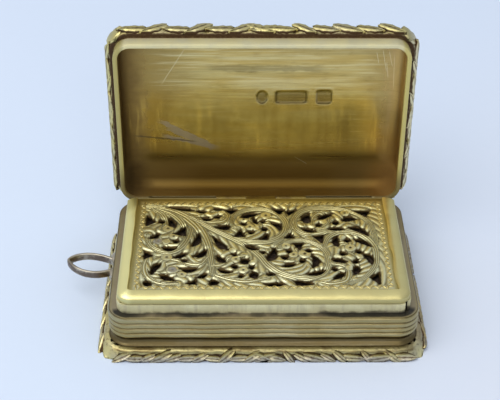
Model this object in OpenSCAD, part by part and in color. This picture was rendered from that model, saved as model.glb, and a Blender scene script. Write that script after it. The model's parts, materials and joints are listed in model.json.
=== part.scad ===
// Silver-gilt vinaigrette: a small hinged box with a pierced inner grille over a scented sponge.
// Millimetres. Origin at the centre of the underside, +X right, +Y to the hinge side, +Z up.
// The lid is drawn open, the grille shut.

/* [Base] */
// Width of the foot border, side to side
base_w = 40.6; // [39:0.2:44]
// Depth of the foot border, front to back
base_d = 26.6; // [25:0.2:30]
// Height of the plain fillet of the foot border
border_h = 1.45; // [1.2:0.05:1.9]
// Height of the leaf band of the foot border
leaf_h = 1.15; // [0.8:0.05:1.4]
// How far the foot border stands out from the wall
base_overhang = 1.4; // [1.1:0.05:1.6]
// Thickness of the bottom sheet
plate_t = 0.5; // [0.4:0.05:0.8]
// Level of the top of the reeded wall
wall_top = 5.8; // [5.2:0.1:7.5]
// Thickness of the reeded wall over its crests
wall_t = 1.1; // [1:0.05:1.3]
// Outer corner radius of the reeded wall
wall_r = 2.6; // [2.5:0.1:3]
// Height of the cove between the foot border and the reeds
cove_h = 1.25; // [0.9:0.05:1.5]
// Depth of that cove
cove_d = 0.35; // [0.2:0.05:0.5]
// Number of reeds up the wall
reed_count = 4; // [3:1:6]
// Depth of the grooves between the reeds
reed_d = 0.16; // [0.1:0.02:0.25]

/* [Borders] */
// Length of one leaf lobe along a border
lobe_len = 3.1; // [2.4:0.1:4]
// Depth of the notch between two lobes
lobe_depth = 0.45; // [0.2:0.05:0.6]
// Width of the plain fillet next to the wall
fillet_w = 0.45; // [0.3:0.05:0.55]
// Length cut off each border corner
corner_cut = 2.3; // [1.4:0.1:2.6]

/* [Bezel] */
// Thickness of the bezel strips
bezel_t = 0.5; // [0.4:0.05:0.7]
// Height of the bezel above the wall
bezel_rise = 1.3; // [1:0.1:2]
// Depth of the bezel soldered inside the wall
bezel_seat = 1.5; // [1:0.1:2]
// Length of bezel missing at the front right corner
bezel_gap = 0.8; // [0.6:0.1:1.5]

/* [Lid] */
// Opening angle of the lid
lid_open = 92; // [80:1:100]
// How much narrower the lid wall is than the base wall
lid_trim = 0.2; // [0.1:0.05:0.25]
// How far the lid border stands out from the lid wall
lid_overhang = 1.2; // [0.9:0.05:1.3]
// Depth inside the lid, from its mouth
lid_depth = 3.1; // [3:0.1:4.5]
// Thickness of the lid sheet
lid_plate_t = 0.5; // [0.4:0.05:0.8]
// Thickness of the lid wall
lid_wall_t = 0.6; // [0.55:0.05:0.8]
// Outer corner radius of the lid wall
lid_r = 2.2; // [2.1:0.05:2.4]
// Radius of the cove inside the lid
lid_cove_r = 1.2; // [0.8:0.05:1.2]
// Thickness of the rim strip round the mouth of the lid
rim_t = 0.35; // [0.25:0.05:0.6]
// Height of the leaf band of the lid border
lid_leaf_h = 1.2; // [0.9:0.05:1.4]
// Gap between lid and wall when shut
mouth_gap = 0.1; // [0.06:0.02:0.2]

/* [Lid hinge] */
// Length of the whole row of knuckles
hinge_len = 30; // [24:1:31]
// Number of knuckles in the row
hinge_knuckles = 5; // [3:2:7]
// Outer radius of a knuckle
knuckle_r = 0.55; // [0.45:0.05:0.55]
// Radius of the hinge pin
pin_r = 0.25; // [0.18:0.01:0.28]
// Clearance round the pin
pin_clear = 0.03; // [0.02:0.01:0.06]
// Clearance between neighbouring knuckles, and round them
knuckle_clear = 0.07; // [0.05:0.01:0.1]
// Angle left over when the lid meets its stop
stop_spare = 1.5; // [0.5:0.5:4]

/* [Grille] */
// Distance from the edge of the foot border to the edge of the grille frame
grille_inset = 2.6; // [2.55:0.05:2.8]
// Distance from the inside of the back bezel to the back edge of the grille
grille_back_gap = 1.1; // [1:0.05:1.6]
// Height of the outer edge of the grille frame
frame_edge_h = 0.6; // [0.4:0.05:0.7]
// Rise of the rounded top of the frame
frame_rise = 0.6; // [0.4:0.05:0.7]
// Width of the rounded top of the frame
frame_round_w = 1.1; // [0.8:0.05:1.2]
// Width of the flat lip inside it
frame_lip_w = 0.3; // [0.2:0.05:0.35]
// Thickness of that lip
frame_lip_t = 0.2; // [0.15:0.05:0.3]
// Thickness of the outer wall of the frame
frame_wall_t = 0.6; // [0.5:0.05:0.7]
// Outer corner radius of the frame
frame_r = 1.6; // [1.5:0.1:2]
// Thickness of the pierced panel
panel_t = 0.5; // [0.4:0.05:0.6]
// Gap under the shut frame
frame_seat_gap = 0.05; // [0.03:0.01:0.1]
// Sideways offset of the scroll pattern
pattern_x = 0.25; // [0:0.05:0.5]

/* [Grille hinge] */
// Length of the row of knuckles
grille_hinge_len = 12; // [9:1:18]
// Number of knuckles in the row
grille_knuckles = 3; // [3:2:5]
// Outer radius of a knuckle
grille_knuckle_r = 0.45; // [0.4:0.01:0.48]
// Radius of the pin
grille_pin_r = 0.2; // [0.16:0.01:0.24]
// Height of the leaf that carries a knuckle
grille_leaf_h = 1.1; // [0.9:0.05:1.2]

/* [Suspension loop] */
// Reach of the loop from the wall
loop_reach = 6.1; // [5:0.1:8]
// Half the outer width of the loop before it draws in
loop_half_w = 2.3; // [2:0.1:3]
// How far each side of the loop draws in next to the wall
loop_neck = 1.2; // [0.8:0.05:1.4]
// Width of the ribbon that the loop is bent from
ribbon_w = 1.1; // [0.9:0.05:1.3]
// Thickness of the ribbon
ribbon_t = 0.45; // [0.35:0.05:0.6]
// Level of the middle of the ribbon
loop_z = 4.1; // [3.6:0.05:4.6]
// Side of the square soldered foot that each end of the loop spreads to
loop_foot = 1.7; // [1.4:0.1:1.9]
// Thickness of that foot
loop_foot_t = 0.3; // [0.2:0.05:0.5]

/* [Sponge] */
// Gap between the sponge and the bezel
sponge_gap = 0.4; // [0.3:0.05:0.8]
// Gap between the sponge and the grille panel
sponge_top_gap = 0.45; // [0.3:0.05:1]
// Corner radius of the sponge
sponge_r = 1.5; // [1:0.1:2.5]

/* [Hidden] */
$fn = 48;

GILT = "#b9a04a";
DARK_GILT = "#8d7a3c";
SILVER = "#a9a79c";
STEEL = "#7d7a74";
SPONGE = "#4a3826";

// Places in a row of four sides, anticlockwise from the right
RIGHT = 0;
BACK = 1;
LEFT = 2;
FRONT = 3;

wall_w = base_w - 2 * base_overhang;
wall_d = base_d - 2 * base_overhang;
bezel_w = wall_w - 2 * wall_t;
bezel_d = wall_d - 2 * wall_t;
bezel_r = wall_r - wall_t;
bezel_top = wall_top + bezel_rise;
inner_w = bezel_w - 2 * bezel_t;
inner_d = bezel_d - 2 * bezel_t;

lid_w = wall_w - lid_trim;
lid_d = wall_d - lid_trim;
mouth_z = wall_top + mouth_gap;
ceiling_z = mouth_z + lid_depth;
lid_leaf_z = ceiling_z - lid_leaf_h;

// The lid turns just inside its back face, so that its back edge meets the wall at the stop
hinge_z = wall_top + mouth_gap / 2;
hinge_y = lid_d / 2 - mouth_gap / 2 / tan((lid_open + stop_spare) / 2);
channel_r = knuckle_r + knuckle_clear;

frame_w = base_w - 2 * grille_inset;
frame_front = -base_d / 2 + grille_inset;
grille_back = inner_d / 2 - grille_back_gap;
frame_z = bezel_top + frame_seat_gap;
frame_top = frame_z + frame_edge_h + frame_rise;
panel_top = frame_top - frame_lip_t;
panel_z = panel_top - panel_t;
panel_w = frame_w - 2 * frame_wall_t;
panel_front = frame_front + frame_wall_t;

grille_hinge_y = grille_back + grille_back_gap / 2;
grille_hinge_z = panel_z;

// Outlines

module rounded_rect(w, d, r) {
    square([w - 2 * r, d], center = true);
    square([w, d - 2 * r], center = true);
    for (sx = [-1, 1], sy = [-1, 1])
        translate([sx * (w / 2 - r), sy * (d / 2 - r)])
            circle(r);
}

// A profile [outwards, up] carried round a rounded rectangle, open or closed at the back
module moulding(w, d, r, profile, sides = [RIGHT, BACK, LEFT, FRONT], corners = [0, 1, 2, 3]) {
    across = [w, d];
    for (side = sides) {
        out = across[side % 2];
        run = across[(side + 1) % 2] - 2 * r;
        rotate(90 * side)
            translate([out / 2, run / 2, 0])
                rotate([90, 0, 0])
                    linear_extrude(run)
                        polygon(profile);
    }
    for (k = corners)
        translate([(k == 0 || k == 3 ? 1 : -1) * (w / 2 - r), (k < 2 ? 1 : -1) * (d / 2 - r), 0])
            rotate(90 * k)
                rotate_extrude(angle = 90)
                    polygon([for (p = profile) [p.x + r, p.y]]);
}

// Foot border and lid border

LOBE_STEPS = 4;

// One lobed edge, running along x with the leaves towards -y
function lobed_edge(length, edge) =
    let (count = max(1, round(length / lobe_len)))
    [for (i = [0 : count * LOBE_STEPS])
        [length * (i / (count * LOBE_STEPS) - 0.5),
         -edge + lobe_depth * (1 - abs(sin(180 * i / LOBE_STEPS)))]];

function turned(points, angle) =
    [for (p = points) [p.x * cos(angle) - p.y * sin(angle), p.x * sin(angle) + p.y * cos(angle)]];

function lobed_outline(w, d) = concat(
    lobed_edge(w - 2 * corner_cut, d / 2),
    turned(lobed_edge(d - 2 * corner_cut, w / 2), 90),
    turned(lobed_edge(w - 2 * corner_cut, d / 2), 180),
    turned(lobed_edge(d - 2 * corner_cut, w / 2), 270));

// The mitred share of a frame that belongs to one side
module mitre(w, d, side) {
    out = side % 2 == 0 ? w / 2 : d / 2;
    half = side % 2 == 0 ? d / 2 : w / 2;
    reach = min(w, d) / 3;
    rotate(90 * side)
        polygon([[out, -half], [out, half], [out - reach, half - reach], [out - reach, reach - half]]);
}

// A plain fillet against the wall with a band of leaves outside it
module border_strip(w, d, inner_w, inner_d, inner_r, side, fillet, band) {
    translate([0, 0, fillet[0]])
        linear_extrude(fillet[1] - fillet[0])
            intersection() {
                difference() {
                    rounded_rect(inner_w + 2 * fillet_w, inner_d + 2 * fillet_w, inner_r + fillet_w);
                    rounded_rect(inner_w, inner_d, inner_r);
                }
                mitre(w, d, side);
            }
    translate([0, 0, band[0]])
        linear_extrude(band[1] - band[0])
            intersection() {
                difference() {
                    polygon(lobed_outline(w, d));
                    rounded_rect(inner_w, inner_d, inner_r);
                }
                mitre(w, d, side);
            }
}

module base_border(side) {
    color(GILT)
        border_strip(base_w, base_d, wall_w, wall_d, wall_r, side, [0, border_h], [0, leaf_h]);
}

module lid_border(side) {
    color(GILT)
        lid_pose()
            border_strip(lid_w + 2 * lid_overhang, lid_d + 2 * lid_overhang, lid_w, lid_d, lid_r, side,
                [lid_leaf_z, ceiling_z + lid_plate_t], [lid_leaf_z, ceiling_z]);
}

// Base

module base_plate() {
    color(GILT)
        linear_extrude(plate_t)
            rounded_rect(wall_w, wall_d, wall_r);
}

COVE_STEPS = 4;
REED_STEPS = 4;
cove_top = border_h + cove_h;
reed_h = (wall_top - cove_top) / reed_count;

wall_profile = concat(
    [[-wall_t, plate_t], [0, plate_t]],
    [for (i = [0 : COVE_STEPS])
        [-cove_d * sin(180 * i / COVE_STEPS) - reed_d * i / COVE_STEPS, border_h + cove_h * i / COVE_STEPS]],
    [for (reed = [0 : reed_count - 1], i = [1 : REED_STEPS])
        [-reed_d * (1 - sin(180 * i / REED_STEPS)), cove_top + reed_h * (reed + i / REED_STEPS)]],
    [[-wall_t, wall_top]]);

module base_wall() {
    color(DARK_GILT)
        difference() {
            moulding(wall_w, wall_d, wall_r, wall_profile);
            hinge_channel(base_own);
        }
}

module bezel_ring() {
    difference() {
        rounded_rect(bezel_w, bezel_d, bezel_r);
        rounded_rect(inner_w, inner_d, bezel_r - bezel_t);
    }
}

module bezel_part(low, high) {
    color(SILVER)
        translate([0, 0, wall_top - bezel_seat])
            linear_extrude(bezel_seat + bezel_rise)
                intersection() {
                    bezel_ring();
                    translate(low)
                        square(high - low);
                }
}

// One strip bent round the front left corner
module bezel_front() {
    bezel_part([-bezel_w / 2, -bezel_d / 2], [bezel_w / 2 - bezel_gap, -inner_d / 2]);
    bezel_part([-bezel_w / 2, -inner_d / 2], [-inner_w / 2, inner_d / 2]);
}

module bezel_right() {
    bezel_part([inner_w / 2, bezel_gap - bezel_d / 2], [bezel_w / 2, inner_d / 2]);
}

module bezel_back() {
    bezel_part([-bezel_w / 2, inner_d / 2], [bezel_w / 2, bezel_d / 2]);
}

// Hinges

// Low and high end of knuckle i in a row
function knuckle_span(length, count, i) =
    [length * (i / count - 0.5) + knuckle_clear / 2, length * ((i + 1) / count - 0.5) - knuckle_clear / 2];

base_own = [for (i = [0 : 2 : hinge_knuckles - 1]) i];
lid_own = [for (i = [1 : 2 : hinge_knuckles - 1]) i];

module rod(y, z, r, span) {
    translate([span[0], y, z])
        rotate([0, 90, 0])
            cylinder(h = span[1] - span[0], r = r);
}

// Room for the row of knuckles, close round the ones that are soldered to this wall
module hinge_channel(own) {
    end = hinge_len / 2 + knuckle_clear;
    difference() {
        rod(hinge_y, hinge_z, channel_r, [-end, end]);
        for (i = own)
            ring_of(hinge_y, hinge_z, channel_r + knuckle_clear, knuckle_r, knuckle_span(hinge_len, hinge_knuckles, i));
    }
}

module ring_of(y, z, outer_r, inner_r, span) {
    difference() {
        rod(y, z, outer_r, span);
        rod(y, z, inner_r, [span[0] - knuckle_clear, span[1] + knuckle_clear]);
    }
}

module lid_row(own) {
    for (i = own)
        ring_of(hinge_y, hinge_z, knuckle_r, pin_r + pin_clear, knuckle_span(hinge_len, hinge_knuckles, i));
}

module base_knuckles() {
    color(DARK_GILT)
        lid_row(base_own);
}

module lid_hinge_pin() {
    color(STEEL)
        rod(hinge_y, hinge_z, pin_r, [-hinge_len / 2, hinge_len / 2]);
}

seat_own = [for (i = [0 : 2 : grille_knuckles - 1]) i];
grille_own = [for (i = [1 : 2 : grille_knuckles - 1]) i];

// Knuckles of the grille hinge, each on a leaf that runs from the axis to the plane at y = root
module grille_row(own, root, leaf_low, leaf_high) {
    for (i = own) {
        span = knuckle_span(grille_hinge_len, grille_knuckles, i);
        near = min(root, grille_hinge_y);
        difference() {
            union() {
                rod(grille_hinge_y, grille_hinge_z, grille_knuckle_r, span);
                translate([span[0], near, leaf_low])
                    cube([span[1] - span[0], abs(root - grille_hinge_y), leaf_high - leaf_low]);
            }
            rod(grille_hinge_y, grille_hinge_z, grille_pin_r + pin_clear,
                [span[0] - knuckle_clear, span[1] + knuckle_clear]);
        }
    }
}

module grille_seat_knuckles() {
    color(DARK_GILT)
        grille_row(seat_own, inner_d / 2, grille_hinge_z - grille_leaf_h, grille_hinge_z);
}

module grille_knuckle() {
    color(DARK_GILT)
        grille_row(grille_own, grille_back, grille_hinge_z, grille_hinge_z + grille_knuckle_r);
}

module grille_hinge_pin() {
    color(STEEL)
        rod(grille_hinge_y, grille_hinge_z, grille_pin_r, [-grille_hinge_len / 2, grille_hinge_len / 2]);
}

// Suspension loop, a ribbon bent round on the left side, with its ends drawn in and spread on the wall

LOOP_STEPS = 12;
LOOP_POWER = 3.7;
LOOP_ROUND = 0.465;
NECK_POWER = 3;

function loop_edge(reach, half) = [for (i = [-LOOP_STEPS : LOOP_STEPS])
    let (s = cos(90 * i / LOOP_STEPS),
        bow = half * pow(1 - pow(s, LOOP_POWER), LOOP_ROUND),
        draw = loop_neck * pow(1 - s, NECK_POWER))
    [-reach * s, sign(i) * (bow - draw)]];

module suspension_loop() {
    foot_y = loop_half_w - loop_neck - ribbon_t;
    color(SILVER)
        translate([-wall_w / 2, 0, loop_z]) {
            translate([0, 0, -ribbon_w / 2])
                linear_extrude(ribbon_w)
                    difference() {
                        polygon(loop_edge(loop_reach, loop_half_w));
                        polygon(loop_edge(loop_reach - ribbon_t, loop_half_w - ribbon_t));
                    }
            for (sy = [-1, 1])
                translate([-loop_foot_t, sy * (foot_y + loop_foot / 2) - loop_foot / 2, -loop_foot / 2])
                    cube([loop_foot_t, loop_foot, loop_foot]);
        }
}

// Sponge

module sponge() {
    front = panel_front + sponge_gap;
    back = grille_back - sponge_gap;
    color(SPONGE)
        translate([0, (front + back) / 2, plate_t])
            linear_extrude(panel_z - sponge_top_gap - plate_t)
                rounded_rect(inner_w - 2 * sponge_gap, back - front, sponge_r);
}

// Lid

module lid_pose() {
    translate([0, hinge_y, hinge_z])
        rotate([-lid_open, 0, 0])
            translate([0, -hinge_y, -hinge_z])
                children();
}

module lid_plate() {
    color(GILT)
        lid_pose()
            translate([0, 0, ceiling_z])
                linear_extrude(lid_plate_t)
                    rounded_rect(lid_w, lid_d, lid_r);
}

lid_profile = concat(
    [[0, mouth_z + rim_t], [0, ceiling_z], [-lid_wall_t - lid_cove_r, ceiling_z]],
    [for (i = [1 : COVE_STEPS])
        [-lid_wall_t - lid_cove_r * (1 - sin(90 * i / COVE_STEPS)),
         ceiling_z - lid_cove_r * (1 - cos(90 * i / COVE_STEPS))]],
    [[-lid_wall_t, mouth_z + rim_t]]);

module lid_wall() {
    color(DARK_GILT)
        lid_pose()
            difference() {
                moulding(lid_w, lid_d, lid_r, lid_profile);
                hinge_channel(lid_own);
            }
}

// Flat strip that stiffens the mouth of the lid
module lid_rim() {
    color(GILT)
        lid_pose()
            difference() {
                translate([0, 0, mouth_z])
                    linear_extrude(rim_t)
                        difference() {
                            rounded_rect(lid_w, lid_d, lid_r);
                            rounded_rect(lid_w - 2 * lid_wall_t, lid_d - 2 * lid_wall_t, lid_r - lid_wall_t);
                        }
                hinge_channel(lid_own);
            }
}

module lid_knuckles() {
    color(DARK_GILT)
        lid_pose()
            lid_row(lid_own);
}

// Grille

ROUND_STEPS = 5;

frame_profile = concat(
    [[-frame_wall_t, frame_z], [0, frame_z]],
    [for (i = [0 : ROUND_STEPS])
        [-frame_round_w * (1 - cos(90 * i / ROUND_STEPS)),
         frame_z + frame_edge_h + frame_rise * sin(90 * i / ROUND_STEPS)]],
    [[-frame_round_w - frame_lip_w, frame_top],
     [-frame_round_w - frame_lip_w, panel_top],
     [-frame_wall_t, panel_top]]);

// Three sides of moulding, open at the back where the panel is hinged
module grille_frame() {
    frame_d = 2 * (grille_back - frame_front);
    color(GILT)
        intersection() {
            translate([0, grille_back, 0])
                moulding(frame_w, frame_d, frame_r, frame_profile, [RIGHT, LEFT, FRONT], [2, 3]);
            translate([-frame_w, frame_front - frame_r, 0])
                cube([2 * frame_w, grille_back - frame_front + frame_r, 2 * frame_top]);
        }
}

// Comma-shaped piercings: blunt end x, y, tail x, y, width, bend to the left, taper (under 1 is fuller at the blunt end)
COMMAS = [
    [-9.1, 6.95, -12.5, 7.65, 0.5, 0.05, 0.55], [-8.7, 6.85, -7.4, 6.65, 0.4, -0.1, 0.9],
    [-6.5, 7.15, -5.3, 7.1, 0.4, 0, 1], [-7.9, 5.2, -6.7, 5, 0.6, -0.1, 0.8],
    [-6.3, 5.3, -5.6, 5.75, 0.45, 0, 0.8], [-4.35, 3.4, -6.2, 3.4, 0.95, 0.1, 0.55],
    [-11.45, 3.4, -12.1, 5.1, 0.75, 0.1, 0.7], [-9.05, -0.55, -8.3, 2.1, 0.75, -0.25, 0.6],
    [-13.4, 2.05, -14.7, 1.15, 0.5, 0.25, 0.8], [-12.9, -0.75, -11.1, -0.9, 0.7, -0.3, 1],
    [-11.3, -2.75, -9.85, -1.9, 0.6, -0.15, 1], [-8.9, -2.6, -7.3, -1.2, 0.75, -0.35, 0.9],
    [-12.95, -3.9, -13.95, -6, 0.7, -0.2, 0.75], [-10.35, -4.95, -8.4, -4.8, 0.7, -0.4, 1],
    [-12.8, -6.2, -11, -7.15, 0.75, -0.1, 0.55], [-8.35, -6.65, -7.15, -5.9, 0.55, -0.1, 1],
    [-14.8, -7.4, -13.9, -8.1, 0.8, 0, 0.9], [-6.8, -7.8, -5.7, -7.5, 0.9, 0.1, 0.9],
    [-4.7, -1.2, -6.4, 1.3, 0.8, 0.15, 0.55], [-4.9, -3.75, -6, -2.35, 0.65, 0.12, 0.65],
    [-5.7, -5.1, -4.1, -5.65, 0.55, -0.15, 1], [-1.5, -5.6, -1.3, -6.8, 1, 0, 0.9],
    [0.2, -6.15, 1.2, -6, 0.5, 0.05, 1], [-0.1, -7.95, 2.3, -7.85, 0.65, -0.1, 0.9],
    [3.5, -7.4, 5.8, -7.75, 0.8, -0.2, 0.5], [-2.4, -0.55, -0.8, -1.15, 0.55, -0.1, 1],
    [0.45, -3.4, 1.25, -0.9, 1.05, -0.2, 0.5], [2.2, -4.45, 3.75, -4, 0.6, -0.1, 1],
    [6, -2.35, 5.9, -4.75, 0.75, 0.45, 1], [5.1, -6, 7.4, -5.3, 0.65, -0.25, 1],
    [1, 4.2, 2.1, 2.8, 0.6, 0.35, 0.9], [-2.8, 5.4, -0.7, 6.2, 0.75, 0.1, 0.6],
    [5.6, 4.2, 5.9, 6.1, 1.1, 0.25, 0.65], [4.8, 3.15, 6.6, 2.4, 0.6, -0.1, 1.3],
    [7.1, 5.05, 8.9, 6.15, 0.65, 0, 0.8], [10.25, 4.75, 12.1, 4.95, 0.9, 0.25, 0.6],
    [8.3, 2.9, 10.4, 2.95, 0.6, 0.05, 1], [10.9, 3.35, 13.25, 1.6, 0.75, 0.35, 0.9],
    [9.3, -0.6, 9.3, 1.35, 0.7, 0.3, 0.8], [11.4, 0.8, 13.5, -0.65, 0.65, 0.2, 0.8],
    [12.4, -2.05, 13.25, -4.1, 0.8, 0.3, 0.8], [8.4, -3.25, 10.2, -3.65, 0.75, 0.05, 0.9],
    [11.4, -4.5, 11, -6.1, 0.8, 0.05, 1], [8.35, -6.95, 9.7, -5.75, 0.7, -0.05, 1], [-0.85, 4.05, -1.3, 5.3, 0.4, 0.1, 0.7]];

// Round eyes of the scrolls: x, y, radius
EYES = [
    [-13.15, 4.5, 0.3], [-11.2, 0.45, 0.3], [-10, -3.4, 0.28], [-3.8, -2.2, 0.25], [-3.75, -4.55, 0.32],
    [-2.5, -3.5, 0.5], [-2.6, 4, 0.25], [-3, -6.4, 0.25], [-0.2, -1.75, 0.25], [2.5, -2.8, 0.35],
    [3.05, -1.55, 0.3], [4.65, -3.5, 0.32], [5.55, -1.45, 0.3], [-1.65, 2.25, 0.3], [0.05, 2.95, 0.33],
    [-0.1, 4.5, 0.22], [7.05, 3.75, 0.3], [9.3, 4.25, 0.38], [10.5, 0.6, 0.33], [9.8, -2.05, 0.33],
    [11.85, -1.7, 0.3], [11.3, -3.6, 0.33], [8.6, -5.1, 0.28], [-1.65, -4.7, 0.3]];
EYE_SIDES = 8;

// Three-cornered piercings between the scrolls
CORNERS = [
    [[-15.1, 5.8], [-15.1, 3.7], [-14, 4.5]], [[-10.1, 3.4], [-11.4, 2], [-10, 1.6]],
    [[-15, -1.6], [-15, -3], [-14, -2.3]], [[-9.7, -7.75], [-8.55, -7.1], [-8.5, -7.85]],
    [[-5.1, 7.1], [-3.5, 7.1], [-4.2, 6.2]], [[1.2, 7.2], [2.7, 7.05], [2.1, 6.1]],
    [[3, 6.7], [4.3, 7], [3.3, 5.9]], [[11.9, 6.8], [13.9, 6.8], [13.3, 5.6]],
    [[6.3, 1.5], [7.6, 1.7], [7.2, 0.2]], [[2.6, 1.1], [3.3, 2], [3.75, 1.1]],
    [[-3.8, 1.5], [-3, 2.75], [-2.5, 1.35]], [[-0.5, 0.85], [0.45, 2], [0.35, 0.8]],
    [[3.7, -0.05], [4.9, 0.1], [4.4, -1.2]], [[13.9, -5.8], [13.9, -7.9], [12.9, -6.75]]];

COMMA_STEPS = 5;
COMMA_SWELL = 0.8;

// The pattern is drawn for a panel of this size, and spreads with the panel
PATTERN_W = 34.2;
PATTERN_D = 19.3;
PATTERN_Y = -0.45;
spread = [panel_w / PATTERN_W, (grille_back - panel_front) / PATTERN_D];

function placed(x, y) =
    [x * spread.x + pattern_x, (y - PATTERN_Y) * spread.y + (grille_back + panel_front) / 2];

// Outline of one comma along its bent spine
function comma(c) =
    let (start = placed(c[0], c[1]), run = placed(c[2], c[3]) - start,
        along = run / norm(run), left = [-along.y, along.x],
        spine = function (s) start + run * s + left * c[5] * (1 - pow(2 * s - 1, 2)),
        half = function (s) c[4] / 2 * pow(sin(180 * pow(s, c[6])), COMMA_SWELL))
    concat(
        [for (i = [0 : COMMA_STEPS]) let (s = i / COMMA_STEPS) spine(s) + left * half(s)],
        [for (i = [1 : COMMA_STEPS - 1]) let (s = 1 - i / COMMA_STEPS) spine(s) - left * half(s)]);

module piercings() {
    for (c = COMMAS)
        polygon(comma(c));
    for (e = EYES)
        translate(placed(e.x, e.y))
            circle(e[2], $fn = EYE_SIDES);
    for (t = CORNERS)
        polygon([for (p = t) placed(p.x, p.y)]);
}

// The panel fills the frame, so its front corners follow the inside of the moulding
module panel_outline() {
    r = frame_r - frame_wall_t;
    translate([-panel_w / 2, panel_front + r])
        square([panel_w, grille_back - panel_front - r]);
    translate([r - panel_w / 2, panel_front])
        square([panel_w - 2 * r, 2 * r]);
    for (sx = [-1, 1])
        translate([sx * (panel_w / 2 - r), panel_front + r])
            circle(r);
}

module grille_panel() {
    color(GILT)
        translate([0, 0, panel_z])
            linear_extrude(panel_t)
                difference() {
                    panel_outline();
                    piercings();
                }
}

base_plate();
base_wall();
base_border(FRONT);  // base_border_front
base_border(RIGHT);  // base_border_right
base_border(BACK);  // base_border_back
base_border(LEFT);  // base_border_left
bezel_front();
bezel_right();
bezel_back();
base_knuckles();
lid_hinge_pin();
grille_seat_knuckles();
grille_hinge_pin();
suspension_loop();
sponge();
lid_plate();
lid_wall();
lid_rim();
lid_border(FRONT);  // lid_border_front
lid_border(RIGHT);  // lid_border_right
lid_border(BACK);  // lid_border_back
lid_border(LEFT);  // lid_border_left
lid_knuckles();
grille_panel();
grille_frame();
grille_knuckle();
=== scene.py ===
"""Looks of a small silver-gilt vinaigrette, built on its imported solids."""

import json
import math
from collections import namedtuple
from functools import reduce

import bpy
import numpy as np
from mathutils import Matrix, Vector


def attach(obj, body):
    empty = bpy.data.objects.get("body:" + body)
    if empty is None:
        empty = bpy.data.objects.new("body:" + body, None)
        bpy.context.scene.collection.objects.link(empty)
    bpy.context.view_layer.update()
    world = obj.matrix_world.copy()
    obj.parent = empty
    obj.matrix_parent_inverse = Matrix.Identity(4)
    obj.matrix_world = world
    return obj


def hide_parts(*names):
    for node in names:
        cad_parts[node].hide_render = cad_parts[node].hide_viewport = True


bl_info = {
    "name": "Silver Vinaigrette",
    "version": (1, 0, 0),
    "blender": (4, 5, 0),
    "location": "3D View > Sidebar > Vinaigrette",
    "description": "Dresses the solids of a silver-gilt vinaigrette with ornament and finishes",
    "category": "Add Mesh",
}

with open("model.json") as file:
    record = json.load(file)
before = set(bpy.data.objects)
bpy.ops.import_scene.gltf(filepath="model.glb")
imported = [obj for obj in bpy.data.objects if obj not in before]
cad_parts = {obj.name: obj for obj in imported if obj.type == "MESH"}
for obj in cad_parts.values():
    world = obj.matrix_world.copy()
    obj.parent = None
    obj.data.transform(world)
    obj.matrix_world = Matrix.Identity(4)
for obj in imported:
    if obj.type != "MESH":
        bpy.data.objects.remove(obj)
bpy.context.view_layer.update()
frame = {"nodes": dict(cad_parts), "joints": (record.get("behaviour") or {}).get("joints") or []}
NODES = frame["nodes"]
JOINTS = {joint["name"]: joint for joint in frame["joints"]}
MM = 0.001
SIDES = ("right", "back", "left", "front")


# Sizes read from the solids, in millimetres

def mesh_points(mesh):
    """The vertices of a mesh as an array."""
    points = np.zeros(len(mesh.vertices) * 3)
    mesh.vertices.foreach_get("co", points)
    return points.reshape(-1, 3) / MM


def solid_points(*nodes):
    """The vertices of solids as one array."""
    return np.concatenate([mesh_points(NODES[node].data) for node in nodes])


def span(points):
    """Lowest and highest corner of points."""
    return points.min(0), points.max(0)


LID_OPEN = math.radians(-JOINTS["lid_hinge"]["range_deg"][0])
HINGE = np.array(JOINTS["lid_hinge"]["pos_m"]) / MM


def turned(points, angle):
    """Points turned about the lid's hinge axis."""
    turn = np.array(Matrix.Rotation(angle, 3, "X"))
    return (np.asarray(points, float) - HINGE) @ turn.T + HINGE


def opened(points):
    """Points of the shut lid, moved to the open lid."""
    return turned(points, -LID_OPEN)


def shut(points):
    """Points of the open lid, moved to the shut lid."""
    return turned(points, LID_OPEN)


WALL_LOW, WALL_HIGH = span(solid_points("base_wall"))
FOOT_LOW, FOOT_HIGH = span(solid_points(*("base_border_" + side for side in SIDES)))
PANEL_LOW, PANEL_HIGH = span(solid_points("grille_panel"))
FRAME_LOW, FRAME_HIGH = span(solid_points("grille_frame"))
LID_POINTS = shut(solid_points("lid_plate"))
LID_LOW, LID_HIGH = span(LID_POINTS)
LID_MIDDLE = float(np.mean(span(solid_points("lid_plate")), 0)[2])
RIM_LOW, RIM_HIGH = span(shut(solid_points("lid_rim")))
LEAF_LOW, LEAF_HIGH = span(shut(solid_points(*("lid_border_" + side for side in SIDES))))


# Properties

def length(name, description, millimetres):
    """A length property with its default in millimetres."""
    return bpy.props.FloatProperty(name=name, description=description, default=millimetres * MM,
                                   min=0.0, unit="LENGTH", precision=6)


def tint(name, description, colour):
    """A colour property."""
    return bpy.props.FloatVectorProperty(name=name, description=description, default=colour, size=3,
                                         min=0.0, max=1.0, subtype="COLOR")


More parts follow.
